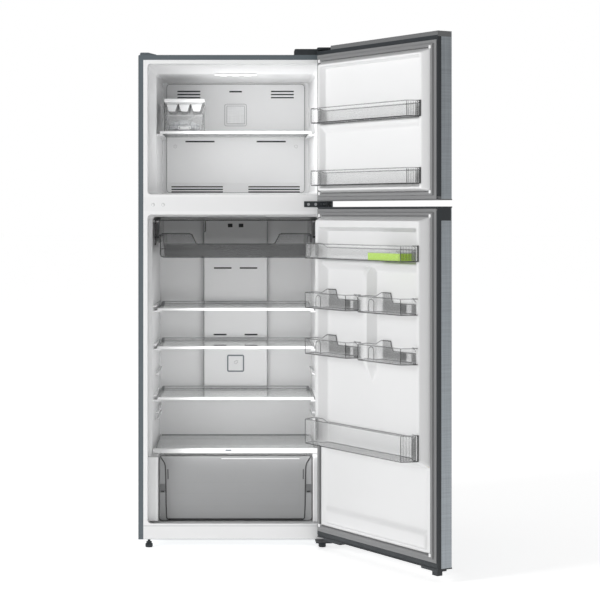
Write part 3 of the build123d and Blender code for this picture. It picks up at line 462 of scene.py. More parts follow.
def grid_lines(low, high, marks):
    """Grid positions from low to high, close together around every marked edge."""
    values = list(np.linspace(low, high, int((high - low) / COARSE) + 2))
    for mark in marks:
        values += list(np.arange(mark - REACH, mark + REACH + 0.1, FINE))
    kept = []
    for value in sorted(v for v in values if low <= v <= high):
        if not kept or value - kept[-1] > 0.7:
            kept.append(value)
    kept[-1] = high
    return np.array(kept)


def liner_edges(door):
    """Inner rectangle of the seal, which the liner fills, and the height of the liner's flange."""
    s0, s1, _, t1, z0, z1 = box_in(door + "_gasket", DOOR)
    return s0 + SEAL_WIDTH, s1 - SEAL_WIDTH, z0 + SEAL_WIDTH, z1 - SEAL_WIDTH, -t1


def moulded_sheet(door, slot, marks_s, marks_z, height):
    """Vacuum formed liner: height(s, z) inside the seal, a flat flange under it, and a back face."""
    s0, s1, z0, z1, flange = liner_edges(door)
    s_lines, z_lines = grid_lines(s0 - 25, s1 + 25, marks_s), grid_lines(z0 - 25, z1 + 25, marks_z)
    s, z = np.meshgrid(s_lines, z_lines)
    front = np.where((s > s0) & (s < s1) & (z > z0) & (z < z1), height(s, z), flange)
    columns, rows = len(s_lines), len(z_lines)
    sheet = Shape()
    for level, flip in ((front, False), (front - SHEET, True)):
        points = np.stack([s, -level, z], axis=-1).reshape(-1, 3)
        faces = []
        for j in range(rows - 1):
            for i in range(columns - 1):
                a = j * columns + i
                quad = (a, a + 1, a + columns + 1, a + columns)
                faces.append(tuple(reversed(quad)) if flip else quad)
        sheet.add(points.tolist(), faces)
    total = columns * rows
    rim = list(range(columns)) + [j * columns + columns - 1 for j in range(1, rows)]
    rim += [total - 1 - i for i in range(1, columns)] + [j * columns for j in range(rows - 2, 0, -1)]
    for i, a in enumerate(rim):
        b = rim[(i + 1) % len(rim)]
        sheet.faces.append((a, b, b + total, a + total))
        sheet.slots.append(0)
    sheet.piece(door + "_liner_formed", door, [slot], DOOR, smooth=27, replaces=[door + "_liner"])


def freezer_door_liner():
    s0, s1, z0, z1, flange = liner_edges("freezer_door")
    crest = -box_in("freezer_door_liner", DOOR)[2]
    panel = crest - 22
    ledge_z = box_in("freezer_bin_upper", DOOR)[4] - 10

    def height(s, z):
        body = raised(s, z, (s0, s1, z0, z1), (s0 + 19, s1 - 19, z0 + 8, z1 - 13), flange, crest)
        rim = (s0 + 28, s1 - 28, z0 + 16, z1 - 20)
        floor = (s0 + 38, s1 - 38, z0 + 22, z1 - 27)
        body = smooth_min(body, hollow(s, z, rim, floor, crest, panel), 5.0)
        base = (s0 + 20, s1 - 20, ledge_z - 26, ledge_z + 12)
        ledge = raised(s, z, base, (s0 + 21, s1 - 21, ledge_z - 3, ledge_z + 6), panel - 6, panel + 17, 7.0)
        inside = smooth_max(body, ledge, 5.0)
        return np.where((s > s0 + 14) & (s < s1 - 14), np.minimum(inside, crest), body)

    steps = (0, 8, 19, 28, 38)
    marks_s = [s0 + step for step in steps] + [s1 - step for step in steps]
    marks_z = [z0, z0 + 8, z0 + 16, z0 + 22, z1, z1 - 7, z1 - 13, z1 - 20, z1 - 27]
    marks_z += [ledge_z - 20, ledge_z - 8, ledge_z, ledge_z + 8]
    moulded_sheet("freezer_door", "door_liner", marks_s, marks_z, height)


def fridge_door_liner():
    s0, s1, z0, z1, flange = liner_edges("fridge_door")
    crest = -box_in("fridge_door_liner", DOOR)[2]
    panel, low_panel = crest - 32, crest - 36
    dike_z = box_in("fridge_bin_bottom", DOOR)[4] - 26
    ledge_z = box_in("fridge_bin_top", DOOR)[4] - 13
    rib_s = (s0 + s1) / 2 - 0.5
    rib_low, rib_top = box_in("half_bin_lower_left", DOOR)[4] - 83, ledge_z - 3

    def height(s, z):
        dike = raised(s, z, (s0, s1, dike_z, z1), (s0 + 17, s1 - 17, dike_z + 26, z1 - 14), flange, crest)
        rim = (s0 + 32, s1 - 32, dike_z - 400, z1 - 38)
        floor = (s0 + 54, s1 - 48, dike_z - 200, z1 - 51)
        dike = smooth_min(dike, hollow(s, z, rim, floor, crest, panel), 5.0)
        lower = raised(s, z, (s0, s1, z0, z1), (s0 + 3, s1 - 3, z0 + 3, z1 - 3), flange, low_panel, 2.0)
        rim = (s0 + 30, s1 - 14, z0 + 66, dike_z + 60)
        dish = hollow(s, z, rim, (s0 + 36, s1 - 20, z0 + 74, dike_z + 40), low_panel, low_panel - 3)
        lower = smooth_min(lower, np.where(z < dike_z + 12, dish, 99.0), 2.0)
        bulge = raised(s, z, (s0 + 32, s1 - 14, z0 + 8, z0 + 82), (s0 + 42, s1 - 24, z0 + 18, z0 + 58),
                       low_panel - 4, low_panel + 8, 4.0)
        level = smooth_max(smooth_max(dike, lower, 4.0), bulge, 3.0)
        share = np.clip((z - rib_low) / 71, 0.02, 1)
        slope = 21 * share**0.35
        fall = (10 * share + slope - np.abs(s - rib_s)) / np.maximum(slope, 1)
        rib = panel - 4 + (31 * share + 4) * np.clip(fall, -1, 1)
        arch = np.clip((rib_top - z) / 46, 0, 1)
        rib = np.minimum(rib, panel - 6 + 37 * np.sqrt(np.clip(1 - (1 - arch) ** 2, 0, 1)))
        rib = np.where(z < rib_low, panel - 8, rib)
        level = smooth_max(level, rib, 3.0)
        ledge = raised(s, z, (s0 + 30, s1 - 30, ledge_z - 30, ledge_z + 16),
                       (s0 + 31, s1 - 31, ledge_z - 4, ledge_z + 6), panel - 6, panel + 19, 7.0)
        inside = np.minimum(smooth_max(level, ledge, 5.0), crest)
        return np.where((s > s0 + 24) & (s < s1 - 24), inside, level)

    marks_s = [s0 + step for step in (0, 8, 17, 32, 43, 54)] + [s1 - step for step in (0, 8, 17, 32, 40, 48)]
    marks_s += [rib_s - 31, rib_s - 10, rib_s, rib_s + 10, rib_s + 31]
    marks_z = [z0, z0 + 10, z0 + 18, z0 + 60, z0 + 74, dike_z, dike_z + 13, dike_z + 26]
    marks_z += [z1, z1 - 8, z1 - 14, z1 - 38, z1 - 51, ledge_z - 22, ledge_z - 8, ledge_z + 4]
    marks_z += list(np.arange(rib_low, rib_low + 80, 14)) + list(np.arange(rib_top - 50, rib_top, 12))
    # the fridge door's liner takes the darker copy of the door liner's white: painted shade
    moulded_sheet("fridge_door", "shaded_door_liner", marks_s, marks_z, height)


def seal(door):
    """Magnetic seal: ribbed foot, folded bellows and magnet bulb, mitred at the corners."""
    s0, s1, z0, z1, flange = liner_edges(door)
    tip = -box_in(door + "_gasket", DOOR)[2]
    profile = [(1.0, flange), (1.0, flange + 3), (3.0, flange + 4.2), (2.2, tip - 3.4), (3.2, tip - 0.8),
               (5.0, tip), (10.5, tip), (12.6, tip - 1.0), (13.4, tip - 3.2), (12.2, tip - 4.6),
               (14.2, tip - 6.2), (13.0, flange + 4.4), (16.0, flange + 4.0), (24.4, flange + 3.8),
               (25.6, flange + 2.6), (25.6, flange)]
    rings = []
    for side_s, side_z in ((-1, -1), (1, -1), (1, 1), (-1, 1)):
        s, z = (s0, s1)[side_s > 0], (z0, z1)[side_z > 0]
        rings.append([(s + side_s * d, -h, z + side_z * d) for d, h in profile])
    made = Shape().rings(rings, loop=True)
    made.piece(door + "_seal", door, ["gasket_grey"], DOOR, smooth=40, replaces=[door + "_gasket"])


def corner_pads(door):
    """Small white pads of the liner that show past the inner corners of the seal."""
    s0, s1, z0, z1, flange = liner_edges(door)
    tip = -box_in(door + "_gasket", DOOR)[2]
    made = Shape()
    for s, side_s in ((s0, 1), (s1, -1)):
        for z, side_z in ((z0, 1), (z1, -1)):
            a, b = sorted((s - side_s * 7.5, s + side_s * 3))
            c, d = sorted((z - side_z * 7.5, z + side_z * 3))
            made.through(rounded(a, b, c, d, 2.0, 3), -flange, -tip - 0.25)
    made.piece(door + "_corner_pads", door, ["door_liner"], DOOR)


def edge_trim(door):
    """Dark strip round the door's back edge, over the gap between its steel side and the seal."""
    s0, s1, _, _, z0, z1 = box_in(door + "_foam", DOOR)
    back = -liner_edges(door)[4]
    g0, g1, _, _, y0, y1 = box_in(door + "_gasket", DOOR)
    made = Shape()
    for edge, side, band in ((s0, -1, g0), (s1, 1, g1)):
        inner, outer, groove = band - side * 0.3, edge + side * 0.9, edge + side * 0.15
        profile = [(inner, back - 0.8), (outer - side, back - 0.8), (outer, back), (outer, back + 4.5),
                   (groove, back + 5.5), (groove, back + 9.5), (outer, back + 10.5),
                   (outer, back + 14.6), (edge - side * 4, back + 14.6), (edge - side * 4, back + 2),
                   (inner, back + 2)]
        made.prism(profile, z0, z1)
    for low, high in ((z0 - 4, y0 + 0.3), (y1 - 0.3, z1 + 4)):
        made.box(s0 - 0.4, s1 + 0.4, back - 0.7, back + 3, low, high)
    made.piece(door + "_edge_trim", door, ["dark_plastic"], DOOR, 35, bevel=0.3)


# ==== door bins ====

BIN_WALL, TAB_RISE = 2.4, 11.0
BIN_SLOTS = ["clear_plastic", "clear_edge", "glass_edge", "bin_painted_shade"]


def bin_plan(box, back, step, front, marks=()):
    """Outline of a bin: narrow between the door's raised edges, then wide, chamfered in front."""
    s0, s1, t0, t1 = box[:4]
    points = [(s0 + front[0], t0), (s1 - front[1], t0), (s1, step), (s1 - back[1], step)]
    points += [(s1 - back[1], t1)] + [(s0 + back[0] + mark, t1) for mark in sorted(marks, reverse=True)]
    return points + [(s0 + back[0], t1), (s0 + back[0], step), (s0, step)]


def bin_shell(plan, z0, z1, top):
    """Walls with a rim bead and a rounded foot, as rings from below round to the inside, with dark
    lines at the front corners and a faint grey sheet over the floor as painted shade."""
    levels = [(-7.0, z0, 0), (-1.2, z0, 1), (0.0, z0 + 1.2, 1), (0.0, z0 + 3.4, 0), (-0.9, z0 + 4.2, 0),
              (-0.7, z1 - 3.6, 2), (0.0, z1 - 3.0, 2), (0.0, z1 - 0.6, 2), (-0.6, z1, 2),
              (-BIN_WALL, z1, 0), (-BIN_WALL - 0.5, z1 - 0.8, 0), (-BIN_WALL - 0.6, z0 + 6.0, 0),
              (-BIN_WALL - 3.0, z0 + 2.6, 0)]
    made, rings = Shape(), []
    for distance, z, _ in levels:
        ring = round_plan(offset_plan(plan, distance), 5.0)
        upper = z > (z0 + z1) / 2
        rings.append([(s, t, z + (top(s, t) if upper else 0.0)) for s, t in ring])
    for i, (_, _, slot) in enumerate(levels[:-1]):
        made.rings([rings[i], rings[i + 1]], caps=(i == 0, i == len(levels) - 2), slot=slot)
    for s in (plan[1][0] - 1, plan[0][0] + 1):
        made.box(s - 0.8, s + 0.8, plan[0][1] + 0.3, plan[0][1] + 1.9, z0 + 4, z1 - 3, slot=1)
    # faint grey sheet just above the floor: painted shade
    made.prism(offset_plan(plan, -7), z0 + 2.8, z0 + 3.6, slot=3)
    return made


def long_bin(node, back, step, front, rear_drop):
    box = box_in(node, DOOR)
    plan = bin_plan(box, back, step, front)
    z0, z1 = box[4:]
    made = bin_shell(plan, z0, z1, lambda s, t: float(-rear_drop * np.clip((t + 62) / 8, 0, 1)))
    # faint grey sheet on the hinge-end step wall: painted shade
    made.box(box[0] + 3, box[0] + 26, step - 1.0, step + 0.2, z0 + 5, z1 - 5, slot=3)
    for s in (box[0] + 7, box[0] + 13, box[0] + 19):
        made.box(s - 0.6, s + 0.6, step - 1.6, step - 0.8, z0 + 5, z1 - 3, slot=2)
    made.box(box[1] - 3.2, box[1] - 0.2, step - 3, step + 1, z0 + 1, z1, slot=1)
    for i in range(5):
        s = plan[1][0] + (plan[2][0] - plan[1][0]) * (i + 1) / 6 - 3
        t = plan[1][1] + (plan[2][1] - plan[1][1]) * (i + 1) / 6
        made.box(s - 0.4, s + 0.4, t, t + 0.9, z0 + 5, z1 - 4, slot=2)
    made.piece(node + "_tray", node, BIN_SLOTS, DOOR, replaces=[node])


def half_bin(node, tab_end, low_start):
    """Half-width bin whose back wall is tall at the hinge end and low over the rest."""
    box = box_in(node, DOOR)
    back = (40, 48) if node.endswith("left") else (44, 35)
    front = (22, 16) if node.endswith("left") else (22, 22)
    plan = bin_plan(box, back, -71.5, front, np.linspace(tab_end, low_start, 6))
    z0, z1 = box[4], box[5] - TAB_RISE

    def top(s, t):
        rear = np.clip((t + 62) / 8, 0, 1)
        along = s - box[0] - back[0]
        fall = np.clip((along - tab_end) / (low_start - tab_end), 0, 1)
        return float(rear * (TAB_RISE - (22 + TAB_RISE) * fall * fall * (3 - 2 * fall)))

    made = bin_shell(plan, z0, z1, top)
    rear = box[3] - 1.6
    # faint grey sheet behind the back wall, tall at the hinge end: painted shade
    shade = [(0, z0 + 4), (0, z1 + 8), (tab_end - 4, z1 + 9), (tab_end, z1 + 6), (tab_end + 2, z1 - 8),
             (low_start, z1 - 22), (low_start + 70, z1 - 25), (low_start + 70, z0 + 4)]
    shade = [(box[0] + back[0] + s + 2, z) for s, z in shade]
    made.through(shade, rear, rear + 0.9, slot=3)
    ribbon(made, shade[1:6], 1.5, rear - 0.2, rear + 1.2, slot=1)
    middle = box[0] + 21
    bow = np.linspace(0.3, math.pi - 0.3, 7)
    arch = [(middle - 15, z0 + 3), (middle - 15, z0 + 30)]
    arch += [(middle - 15 * math.cos(a), z0 + 30 + 13 * math.sin(a)) for a in bow]
    arch += [(middle + 15, z0 + 30), (middle + 15, z0 + 3)]
    ribbon(made, arch, 3.4, -71.2, -69.6, slot=1)
    made.piece(node + "_tray", node, BIN_SLOTS, DOOR, replaces=[node])


def make_bins():
    for node in ("freezer_bin_upper", "freezer_bin_lower"):
        long_bin(node, (20, 22), -61.5, (20, 18), 6)
    for node in ("fridge_bin_top", "fridge_bin_bottom"):
        long_bin(node, (40, 35), -71.5, (22, 21), 14)
    for row in ("upper", "lower"):
        for side in ("left", "right"):
            half_bin(f"half_bin_{row}_{side}", 47, 60)


# ==== fittings of the cabinet ====

OPENING_HALF = 317.0  # half the width of the cabinet's opening
FREEZER_BADGE_Z, DUCT_BADGE_Z = 1580, 621
SCREW_CAP_X, SCREW_CAP_Z = (-232, 232), 1459
PLUG_X, PLUG_Z = (-297, -261), 1233
DUCT_SLOTS = ((1155, 34), (990, 88), (732, 90), (689, 90))  # height and half the width of each row
SPARE_LEDGES_Z = (612, 470, 444)
SLOT_HALF = 42  # half the length of the humidity slide's slot


def glass_shelf(node):
    """Glass pane with a white nose strip, a clear upstand at the back and dark corner clips."""
    x0, x1, y0, y1, _, top = box_in(node)
    top -= 8
    made = Shape()
    nose = [(y0, top - 7.5), (y0, top - 2.2), (y0 + 0.8, top - 0.6), (y0 + 2.4, top), (y0 + 12, top),
            (y0 + 12, top - 1.8), (y0 + 15.6, top - 2.4), (y0 + 15.6, top - 7.4), (y0 + 11, top - 8),
            (y0 + 9.5, top - 10), (y0 + 3, top - 10), (y0 + 0.8, top - 9.4)]
    made.across(nose, x0, x1)
    made.box(x0 + 2, x1 - 2, y0 + 14, y1 - 8, top - 6.2, top - 2.2, slot=1)
    for x in (x0 + 2.2, x1 - 3.4):
        made.box(x, x + 1.2, y0 + 16, y1 - 9, top - 6.4, top - 1.9, slot=2)
    back = [(y1 - 10, top - 10), (y1 - 10, top + 6.5), (y1 - 8.8, top + 8), (y1 - 1, top + 8),
            (y1, top + 6.8), (y1, top - 10)]
    made.across(back, x0 + 10, x1 - 10, slot=3)
    for z in (top + 7.4, top - 2):
        made.box(x0 + 11, x1 - 11, y1 - 11.0, y1 - 9.8, z - 0.7, z + 0.7, slot=2)
    for side, x in ((1, x0), (-1, x1)):
        clip = [(x, top - 10), (x + side * 13, top - 10), (x + side * 13, top + 8), (x + side * 5, top + 8),
                (x, top - 2)]
        made.through(clip, y1 - 17, y1, slot=4)
    slots = ["trim_white", "shelf_glass", "glass_edge", "shelf_rail", "clip_grey"]
    made.piece(node + "_assembly", node, slots, bevel=0.4, replaces=[node])


def crisper_lid():
    """Cover pane of the crisper, its deep white strip and the slot of the humidity slide."""
    x0, x1, y0, y1, z0, z1 = box_in("crisper_cover")
    made = Shape()
    nose = [(y0 + 1.6, z0), (y0, z0 + 2.0), (y0, z1 - 6), (y0 + 0.9, z1 - 2.4), (y0 + 3.6, z1 - 0.4),
            (y0 + 8, z1), (y0 + 15.4, z1), (y0 + 15.4, z0 + 6), (y0 + 9, z0)]
    made.across(nose, x0, -SLOT_HALF)
    made.across(nose, SLOT_HALF, x1)
    split = [(y0 + 5.0, z0 + 8), (y0 + 5.0, z1 - 3), (y0 + 6.6, z1 - 0.2), (y0 + 8, z1), (y0 + 15.4, z1),
             (y0 + 15.4, z0 + 6), (y0 + 9, z0), (y0 + 5, z0)]
    made.across(split, -SLOT_HALF, SLOT_HALF)
    lip = [(y0 + 1.6, z0), (y0, z0 + 2), (y0, z0 + 8), (y0 + 5, z0 + 8), (y0 + 5, z0)]
    made.across(lip, -SLOT_HALF, SLOT_HALF)
    top = [(y0 + 0.4, z1 - 3), (y0 + 0.9, z1 - 2.4), (y0 + 3.6, z1 - 0.4), (y0 + 6.6, z1 - 0.2),
           (y0 + 5, z1 - 3)]
    made.across(top, -SLOT_HALF, SLOT_HALF)
    made.box(x0 + 15, x1 - 15, y0 + 16, y1, z1 - 6, z1 - 2, slot=1)
    for x in (x0 + 9, x1 - 13):
        made.box(x, x + 4, y0 + 16, y1, z1 - 10, z1 - 1.0, slot=2)
    made.box(x0 + 14, x1 - 14, y1 - 2, y1, z1 - 7, z1 - 0.5, slot=2)
    slots = ["trim_white", "shelf_glass", "glass_edge"]
    made.piece("crisper_cover_assembly", "crisper_cover", slots, replaces=["crisper_cover"])


def slide_knob():
    x0, x1, y0, y1, z0, z1 = box_in("humidity_slider")
    made = Shape()
    plate(made, rounded(x0, x1, z0, z1, 1.4, 3), y0, y1, inset=0.6)
    for i in range(4):
        x = x0 + 4 + 4 * i
        made.box(x - 0.5, x + 0.5, y0 - 0.5, y0 + 0.6, z0 + 1, z1 - 1)
    made.piece("humidity_slider_knob", "humidity_slider", ["badge_trim"], replaces=["humidity_slider"])


def tub(made, x0, x1, y0, y1, z0, z1, wall, corner, slot=0, draft=3.0):
    """Open box with rounded corners, drawn-in foot and a thin wall."""
    levels = [(-draft - 6, z0), (-draft - 1.5, z0 + 1.0), (-draft, z0 + 5), (0.0, z1), (-wall, z1),
              (-draft - wall, z0 + 6 + wall), (-draft - 6 - wall, z0 + wall)]
    return made.stack(rounded(x0, x1, y0, y1, corner, 4), levels, slot)


def crisper():
    """Clear drawer: broad front with frosted sides, dark seams of the tub behind it, and two grips."""
    x0, x1, y0, y1, z0, z1 = box_in("crisper_drawer")
    made = Shape()
    front = rounded(x0, x1, z0, z1, 12.0)
    plate(made, front, y0, y0 + 3.6, inset=1.2)
    tub(made, x0 + 15, x1 - 15, y0 + 5, y1, z0 + 3, z1 - 9, 2.5, 10.0, slot=6)
    for left in (x0 + 1, x1 - 15.5):
        made.box(left, left + 14.5, y0 + 4, y1 - 12, z1 - 12, z1 - 9)
    for side in (-1, 1):
        seam = [(272, z1 - 4), (266, z1 - 14), (259, z1 - 24), (255.5, z1 - 36), (254, z1 - 60),
                (252.5, z0 + 60), (250.5, z0 + 10), (247, z0 + 5), (240, z0 + 3.6)]
        seam = [(side * x, z) for x, z in seam]
        ribbon(made, seam, 4.2, y0 - 0.3, y0 + 1.0, slot=1)
        ribbon(made, [(side * 246, z1 - 48), (side * 245.4, z1 - 84)], 3.2, y0 - 0.2, y0 + 1.0, slot=1)
        grip = sorted((side * 256, side * (x1 - 3)))
        plate(made, rounded(grip[0], grip[1], 188, 219, 2.0, 3), y0 - 1.2, y0 + 2, slot=3)
        made.box(grip[0] + 3, grip[1] - 3, y0 - 2.0, y0 - 1.0, 190, 195, slot=1)
    both_sides(made, 255, x1 - 2.5, y0 + 3.7, y0 + 4.5, z0 + 12, z1 - 12, slot=2)
    ribbon(made, [(-243, z0 + 4.4), (243, z0 + 4.4)], 5.6, y0 - 0.3, y0 + 1.0, slot=1)
    ribbon(made, front, 2.4, y0 + 0.4, y0 + 3.4, slot=1, loop=True)
    for z, light in ((z1 - 6, 4), (z1 - 22, 5), (z1 - 96, 5), (z0 + 98, 4), (z0 + 53, 5), (z0 + 48, 4)):
        made.box(-244, 232, y0 - 0.1, y0 + 1.0, z - 0.6, z + 0.6, slot=light)
    made.box(-52, 232, y0 - 0.2, y0 + 1.0, z1 - 11, z1 - 8.5, slot=7)
    made.box(230, 232, y0 - 0.1, y0 + 1.0, z0 + 52, z1 - 9, slot=4)
    slots = ["crisper_clear", "seam_dark", "frosted", "grip_grey", "ridge_light", "ridge_light", "tub_clear",
             "trim_white"]
    made.piece("crisper_drawer_tub", "crisper_drawer", slots, replaces=["crisper_drawer"])


def chiller():
    """Smoked drawer whose front dips in the middle as a hand hold, with dark moulded edges."""
    x0, x1, y0, y1, z0, z1 = box_in("chiller_drawer")
    made = Shape()
    right = [(x1 - 12, z0), (x1 - 3, z0 + 3), (x1, z0 + 12), (x1, z1 - 5), (x1 - 5, z1), (167, z1),
             (160, z1 - 3), (144, z1 - 35), (137, z1 - 38)]
    left = [(-x, z) for x, z in reversed(right)]
    edge = left[-1:] + right + left[:-1]
    plate(made, edge, y0, y0 + 3.6, inset=0.9)
    ribbon(made, edge, 3.6, y0 - 0.4, y0 + 3.9, slot=1, loop=True)
    ribbon(made, [(x0 + 4, z0 + 30), (x1 - 4, z0 + 30)], 3.2, y0 + 3.2, y0 + 4.4, slot=1)
    tub(made, x0 + 11, x1 - 11, y0 + 5, y1, z0 + 2, z1 - 42, 2.5, 10.0)
    both_sides(made, 261.5, 264, y0 + 4, y1 - 12, z1 - 46, z1 - 4)
    both_sides(made, 262, 275, y0 + 4, y1 - 12, z1 - 7, z1 - 4, slot=1)
    made.piece("chiller_drawer_tub", "chiller_drawer", ["smoky_plastic", "seam_dark"],
               replaces=["chiller_drawer"])


def chiller_hood():
    """Smoked cover plate over the chiller drawer, its front frame and hanging rails."""
    x0, x1, y0, y1, z0, z1 = box_in("chiller_frame")
    rail_z = box_in("chiller_drawer")[5] - 7.3
    made = Shape()
    made.box(x0 + 5, x1 - 5, y0 + 1, y1, z1 - 3, z1, slot=2)
    made.box(x0, x1, y0, y0 + 5, z1 - 4, z1, slot=1)
    both_sides(made, 277, 280, y0, y1, rail_z - 26, z1 - 3)
    both_sides(made, 266, 278, y0 + 2, y1, rail_z - 3.5, rail_z)
    both_sides(made, 290.5, x1, y0, y0 + 8, z0 + 32, z1 - 4, slot=1)
    both_sides(made, 290.5, x1, y0, y0 + 3, z0, z0 + 30, slot=1)
    both_sides(made, 281, x1, y0, y0 + 7, z0 + 26, z0 + 33, slot=1)
    ribbon(made, [(-110, z1 - 5), (-110, z1 - 40), (-113, z1 - 46)], 3.4, y0 + 1, y0 + 4, slot=1)
    made.piece("chiller_hood", "cabinet", ["smoky_plastic", "seam_dark", "hood_smoke"],
               replaces=["chiller_frame"])


def ice_stand():
    x0, x1, y0, y1, z0, z1 = box_in("ice_frame")
    made = Shape()
    levels = [(-2.5, z1 - 14), (-0.8, z1 - 14), (0.0, z1 - 12), (0.0, z1 - 2), (-1.6, z1), (-8, z1),
              (-9.5, z1 - 3), (-10, z1 - 14)]
    made.stack(rounded(x0, x1, y0, y1, 4.0, 4), levels, loop=True)
    for x, turn in ((x0, 1), (x1, -1)):
        cheek = [(y0 + 1, z1 - 13), (y0 + 7, z0 + 4), (y0 + 10, z0), (y1 - 6, z0), (y1, z1 - 13)]
        a, b = sorted((x + turn * 0.6, x + turn * 2.8))
        made.across(cheek, a, b, slot=1)
        a, b = sorted((x + turn * 0.2, x + turn * 3.4))
        made.across([(y0 + 0.6, z1 - 13), (y0 + 3.6, z1 - 13), (y0 + 9, z0), (y0 + 6, z0)], a, b, slot=2)
    slots = ["trim_white", "ice_plastic", "glass_edge"]
    made.piece("ice_maker_stand", "freezer_shelf", slots, replaces=["ice_frame"])


def ice_cups():
    """Three white trays with rounded fronts and five cells each, and a painted shadow under the middle."""
    x0, x1, y0, y1, z0, z1 = box_in("ice_trays")
    made, pitch = Shape(), (x1 - x0 - 1) / 3
    for i in range(3):
        left, right = x0 + pitch * i + 0.8, x0 + pitch * (i + 1) - 0.2
        outline = round_plan([(left + 9, z0), (right - 9, z0), (right, z1 - 3), (left, z1 - 3)], 5.0)
        plate(made, outline, y0, y1 - 2, inset=2.0)
        made.box(left - 0.4, right + 0.4, y0 - 0.5, y1, z1 - 3, z1)
        lines = [(left + 1, z1 - 6), (left + 9.5, z0 + 1.5), (right - 9.5, z0 + 1.5), (right - 1, z1 - 6)]
        ribbon(made, lines, 2.0, y0 - 0.3, y0 + 1.0, slot=1)
        for j in range(5):
            y = y0 + 8 + 38 * j
            made.box(left + 6, right - 6, y, y + 30, z1 - 1, z1 + 0.8, slot=2)
    middle = (x0 + x1) / 2
    # dark box low under the trays, left of the middle: painted shadow
    made.box(middle - 22, middle - 10, y0 - 0.8, y0 + 3, z0 - 1, z0 + 1.5, slot=3)
    slots = ["tray_white", "glass_edge", "ice", "seam_dark"]
    made.piece("ice_tray_set", "ice_trays", slots, smooth=40, bevel=0.6, replaces=["ice_trays"])


def ice_box():
    """Clear ice bin with a hand slot, filled with loose ice, and the scoop lying on top."""
    x0, x1, y0, y1, z0, z1 = box_in("ice_bin")
    made = Shape()
    tub(made, x0, x1, y0, y1, z0, z1, 2.4, 8.0, draft=4.0)
    middle = (x0 + x1) / 2
    ribbon(made, rounded(x0 + 1.5, x1 - 1.5, z1 - 4, z1, 1.5, 2), 0.9, y0 - 0.2, y0 + 1, slot=1, loop=True)
    frame_line = rounded(x0 + 14, x1 - 14, z0 + 5, z0 + 22, 3.0, 3)
    ribbon(made, frame_line, 1.1, y0 + 3.2, y0 + 5.2, slot=1, loop=True)
    hand_slot = rounded(middle - 22, middle + 22, z0 + 7, z0 + 18, 4.0, 4)
    ribbon(made, hand_slot, 1.5, y0 + 2.6, y0 + 5.2, slot=2, loop=True)
    made.box(middle - 16, middle + 16, y0 + 4, y0 + 6, z0 + 9, z0 + 15, slot=2)
    ice = np.random.default_rng(7)
    for _ in range(46):
        x, y = ice.uniform(x0 + 20, x1 - 20), ice.uniform(y0 + 18, y1 - 30)
        z = z0 + 12 + ice.uniform(0, 24) * (1 - abs(x - middle) / 110)
        turn = Matrix.Rotation(ice.uniform(0, 3.1), 3, "Z") @ Matrix.Rotation(ice.uniform(-0.8, 0.8), 3, "X")
        size = ice.uniform(8.0, 11.0)
        cube = []
        for level, reach in ((-1, 0.72), (-0.55, 1), (0.75, 0.86), (1, 0.6)):
            ring = [(-reach, -reach), (reach, -reach), (reach, reach), (-reach, reach)]
            cube.append([turn @ Vector((a, b, level)) * size + Vector((x, y, z)) for a, b in ring])
        made.rings([[tuple(point) for point in ring] for ring in cube], slot=3)
    bowl = [(19 * math.cos(angle), 12 * math.sin(angle)) for angle in np.linspace(0, math.pi, 9)]
    hollow_bowl = bowl + [(a * 0.86, b * 0.84) for a, b in reversed(bowl)]
    lean = Matrix.Rotation(math.radians(-38), 3, "Y")
    centre = Vector((middle + 6, y0 + 70, z0 + 40))
    rings = [[tuple(lean @ Vector((d, a, -b)) + centre) for a, b in hollow_bowl] for d in (-30, 14)]
    made.rings(rings, slot=4)
    handle = [lean @ Vector((d, 0, -6)) + centre for d in (12, 24, 36)]
    made.tube(handle, 4.0, 10, slot=4)
    slots = ["ice_plastic", "glass_edge", "trim_white", "ice", "tray_white"]
    made.piece("ice_bin_filled", "ice_bin", slots, smooth=35, replaces=["ice_bin"])


def badges():
    """Freezer badge of brushed metal in a white frame, duct badge of white tile in a grey frame."""
    top, low, made = FREEZER_BADGE_Z, DUCT_BADGE_Z, Shape()
    y = box_in("vent_badges")[2]
    plate(made, rounded(-43, 43, top - 43, top + 43, 8.0), y, y + 2, slot=0)
    ribbon(made, rounded(-42, 42, top - 42, top + 42, 8.0), 1.2, y - 0.2, y + 1, slot=3, loop=True)
    plate(made, rounded(-33, 33, top - 33, top + 33, 3.0), y - 0.7, y + 1, slot=1)
    ribbon(made, rounded(-34, 34, top - 34, top + 34, 3.0), 1.0, y - 0.4, y + 1, slot=3, loop=True)
    y = box_in("air_duct_cover")[2] - 2
    plate(made, rounded(-33, 33, low - 33, low + 33, 6.0), y, y + 2, slot=0)
    ribbon(made, rounded(-30.5, 30.5, low - 30.5, low + 30.5, 5.0), 5.0, y - 0.7, y + 1, slot=2, loop=True)
    leaf = [(-6, low + 2), (0, low - 2), (7, low + 3), (9, low + 11), (2, low + 10), (-4, low + 7)]
    ribbon(made, leaf, 1.1, y - 0.3, y + 1, slot=3, loop=True)
    slots = ["trim_white", "brushed_plate", "badge_trim", "clip_grey"]
    made.piece("air_badges", "cabinet", slots, replaces=["vent_badges"])


def lamps():
    """Ceiling lamp lenses: a frosted bar with three bright spots in the freezer, a plain one below."""
    made = Shape()
    fridge_half, half, near, far, top = 108, 77, 92, 105, 1710.5
    profile = [(near, top), (near + 0.8, top - 4.4), (near + 3, top - 5.6), (far - 3, top - 5.6),
               (far - 0.8, top - 4.4), (far, top)]
    made.across(profile, -half, half)
    for x in (-44, 0, 44):
        spot = [(x + 13 * a, 98 + 5 * b) for a, b in circle(0, 0, 1, 19)]
        made.prism(spot, top - 6.6, top - 5, slot=1)
    low = box_in("lamp_lenses")[4] + 5
    profile = [(42, low), (43, low - 1.0), (57, low - 1.4), (58, low)]
    made.across(profile, -fridge_half, fridge_half, slot=2)
    made.piece("lamp_lens_set", "cabinet", ["lamp_glow", "lamp_spot", "liner_white"], smooth=40,
               replaces=["lamp_lenses"])


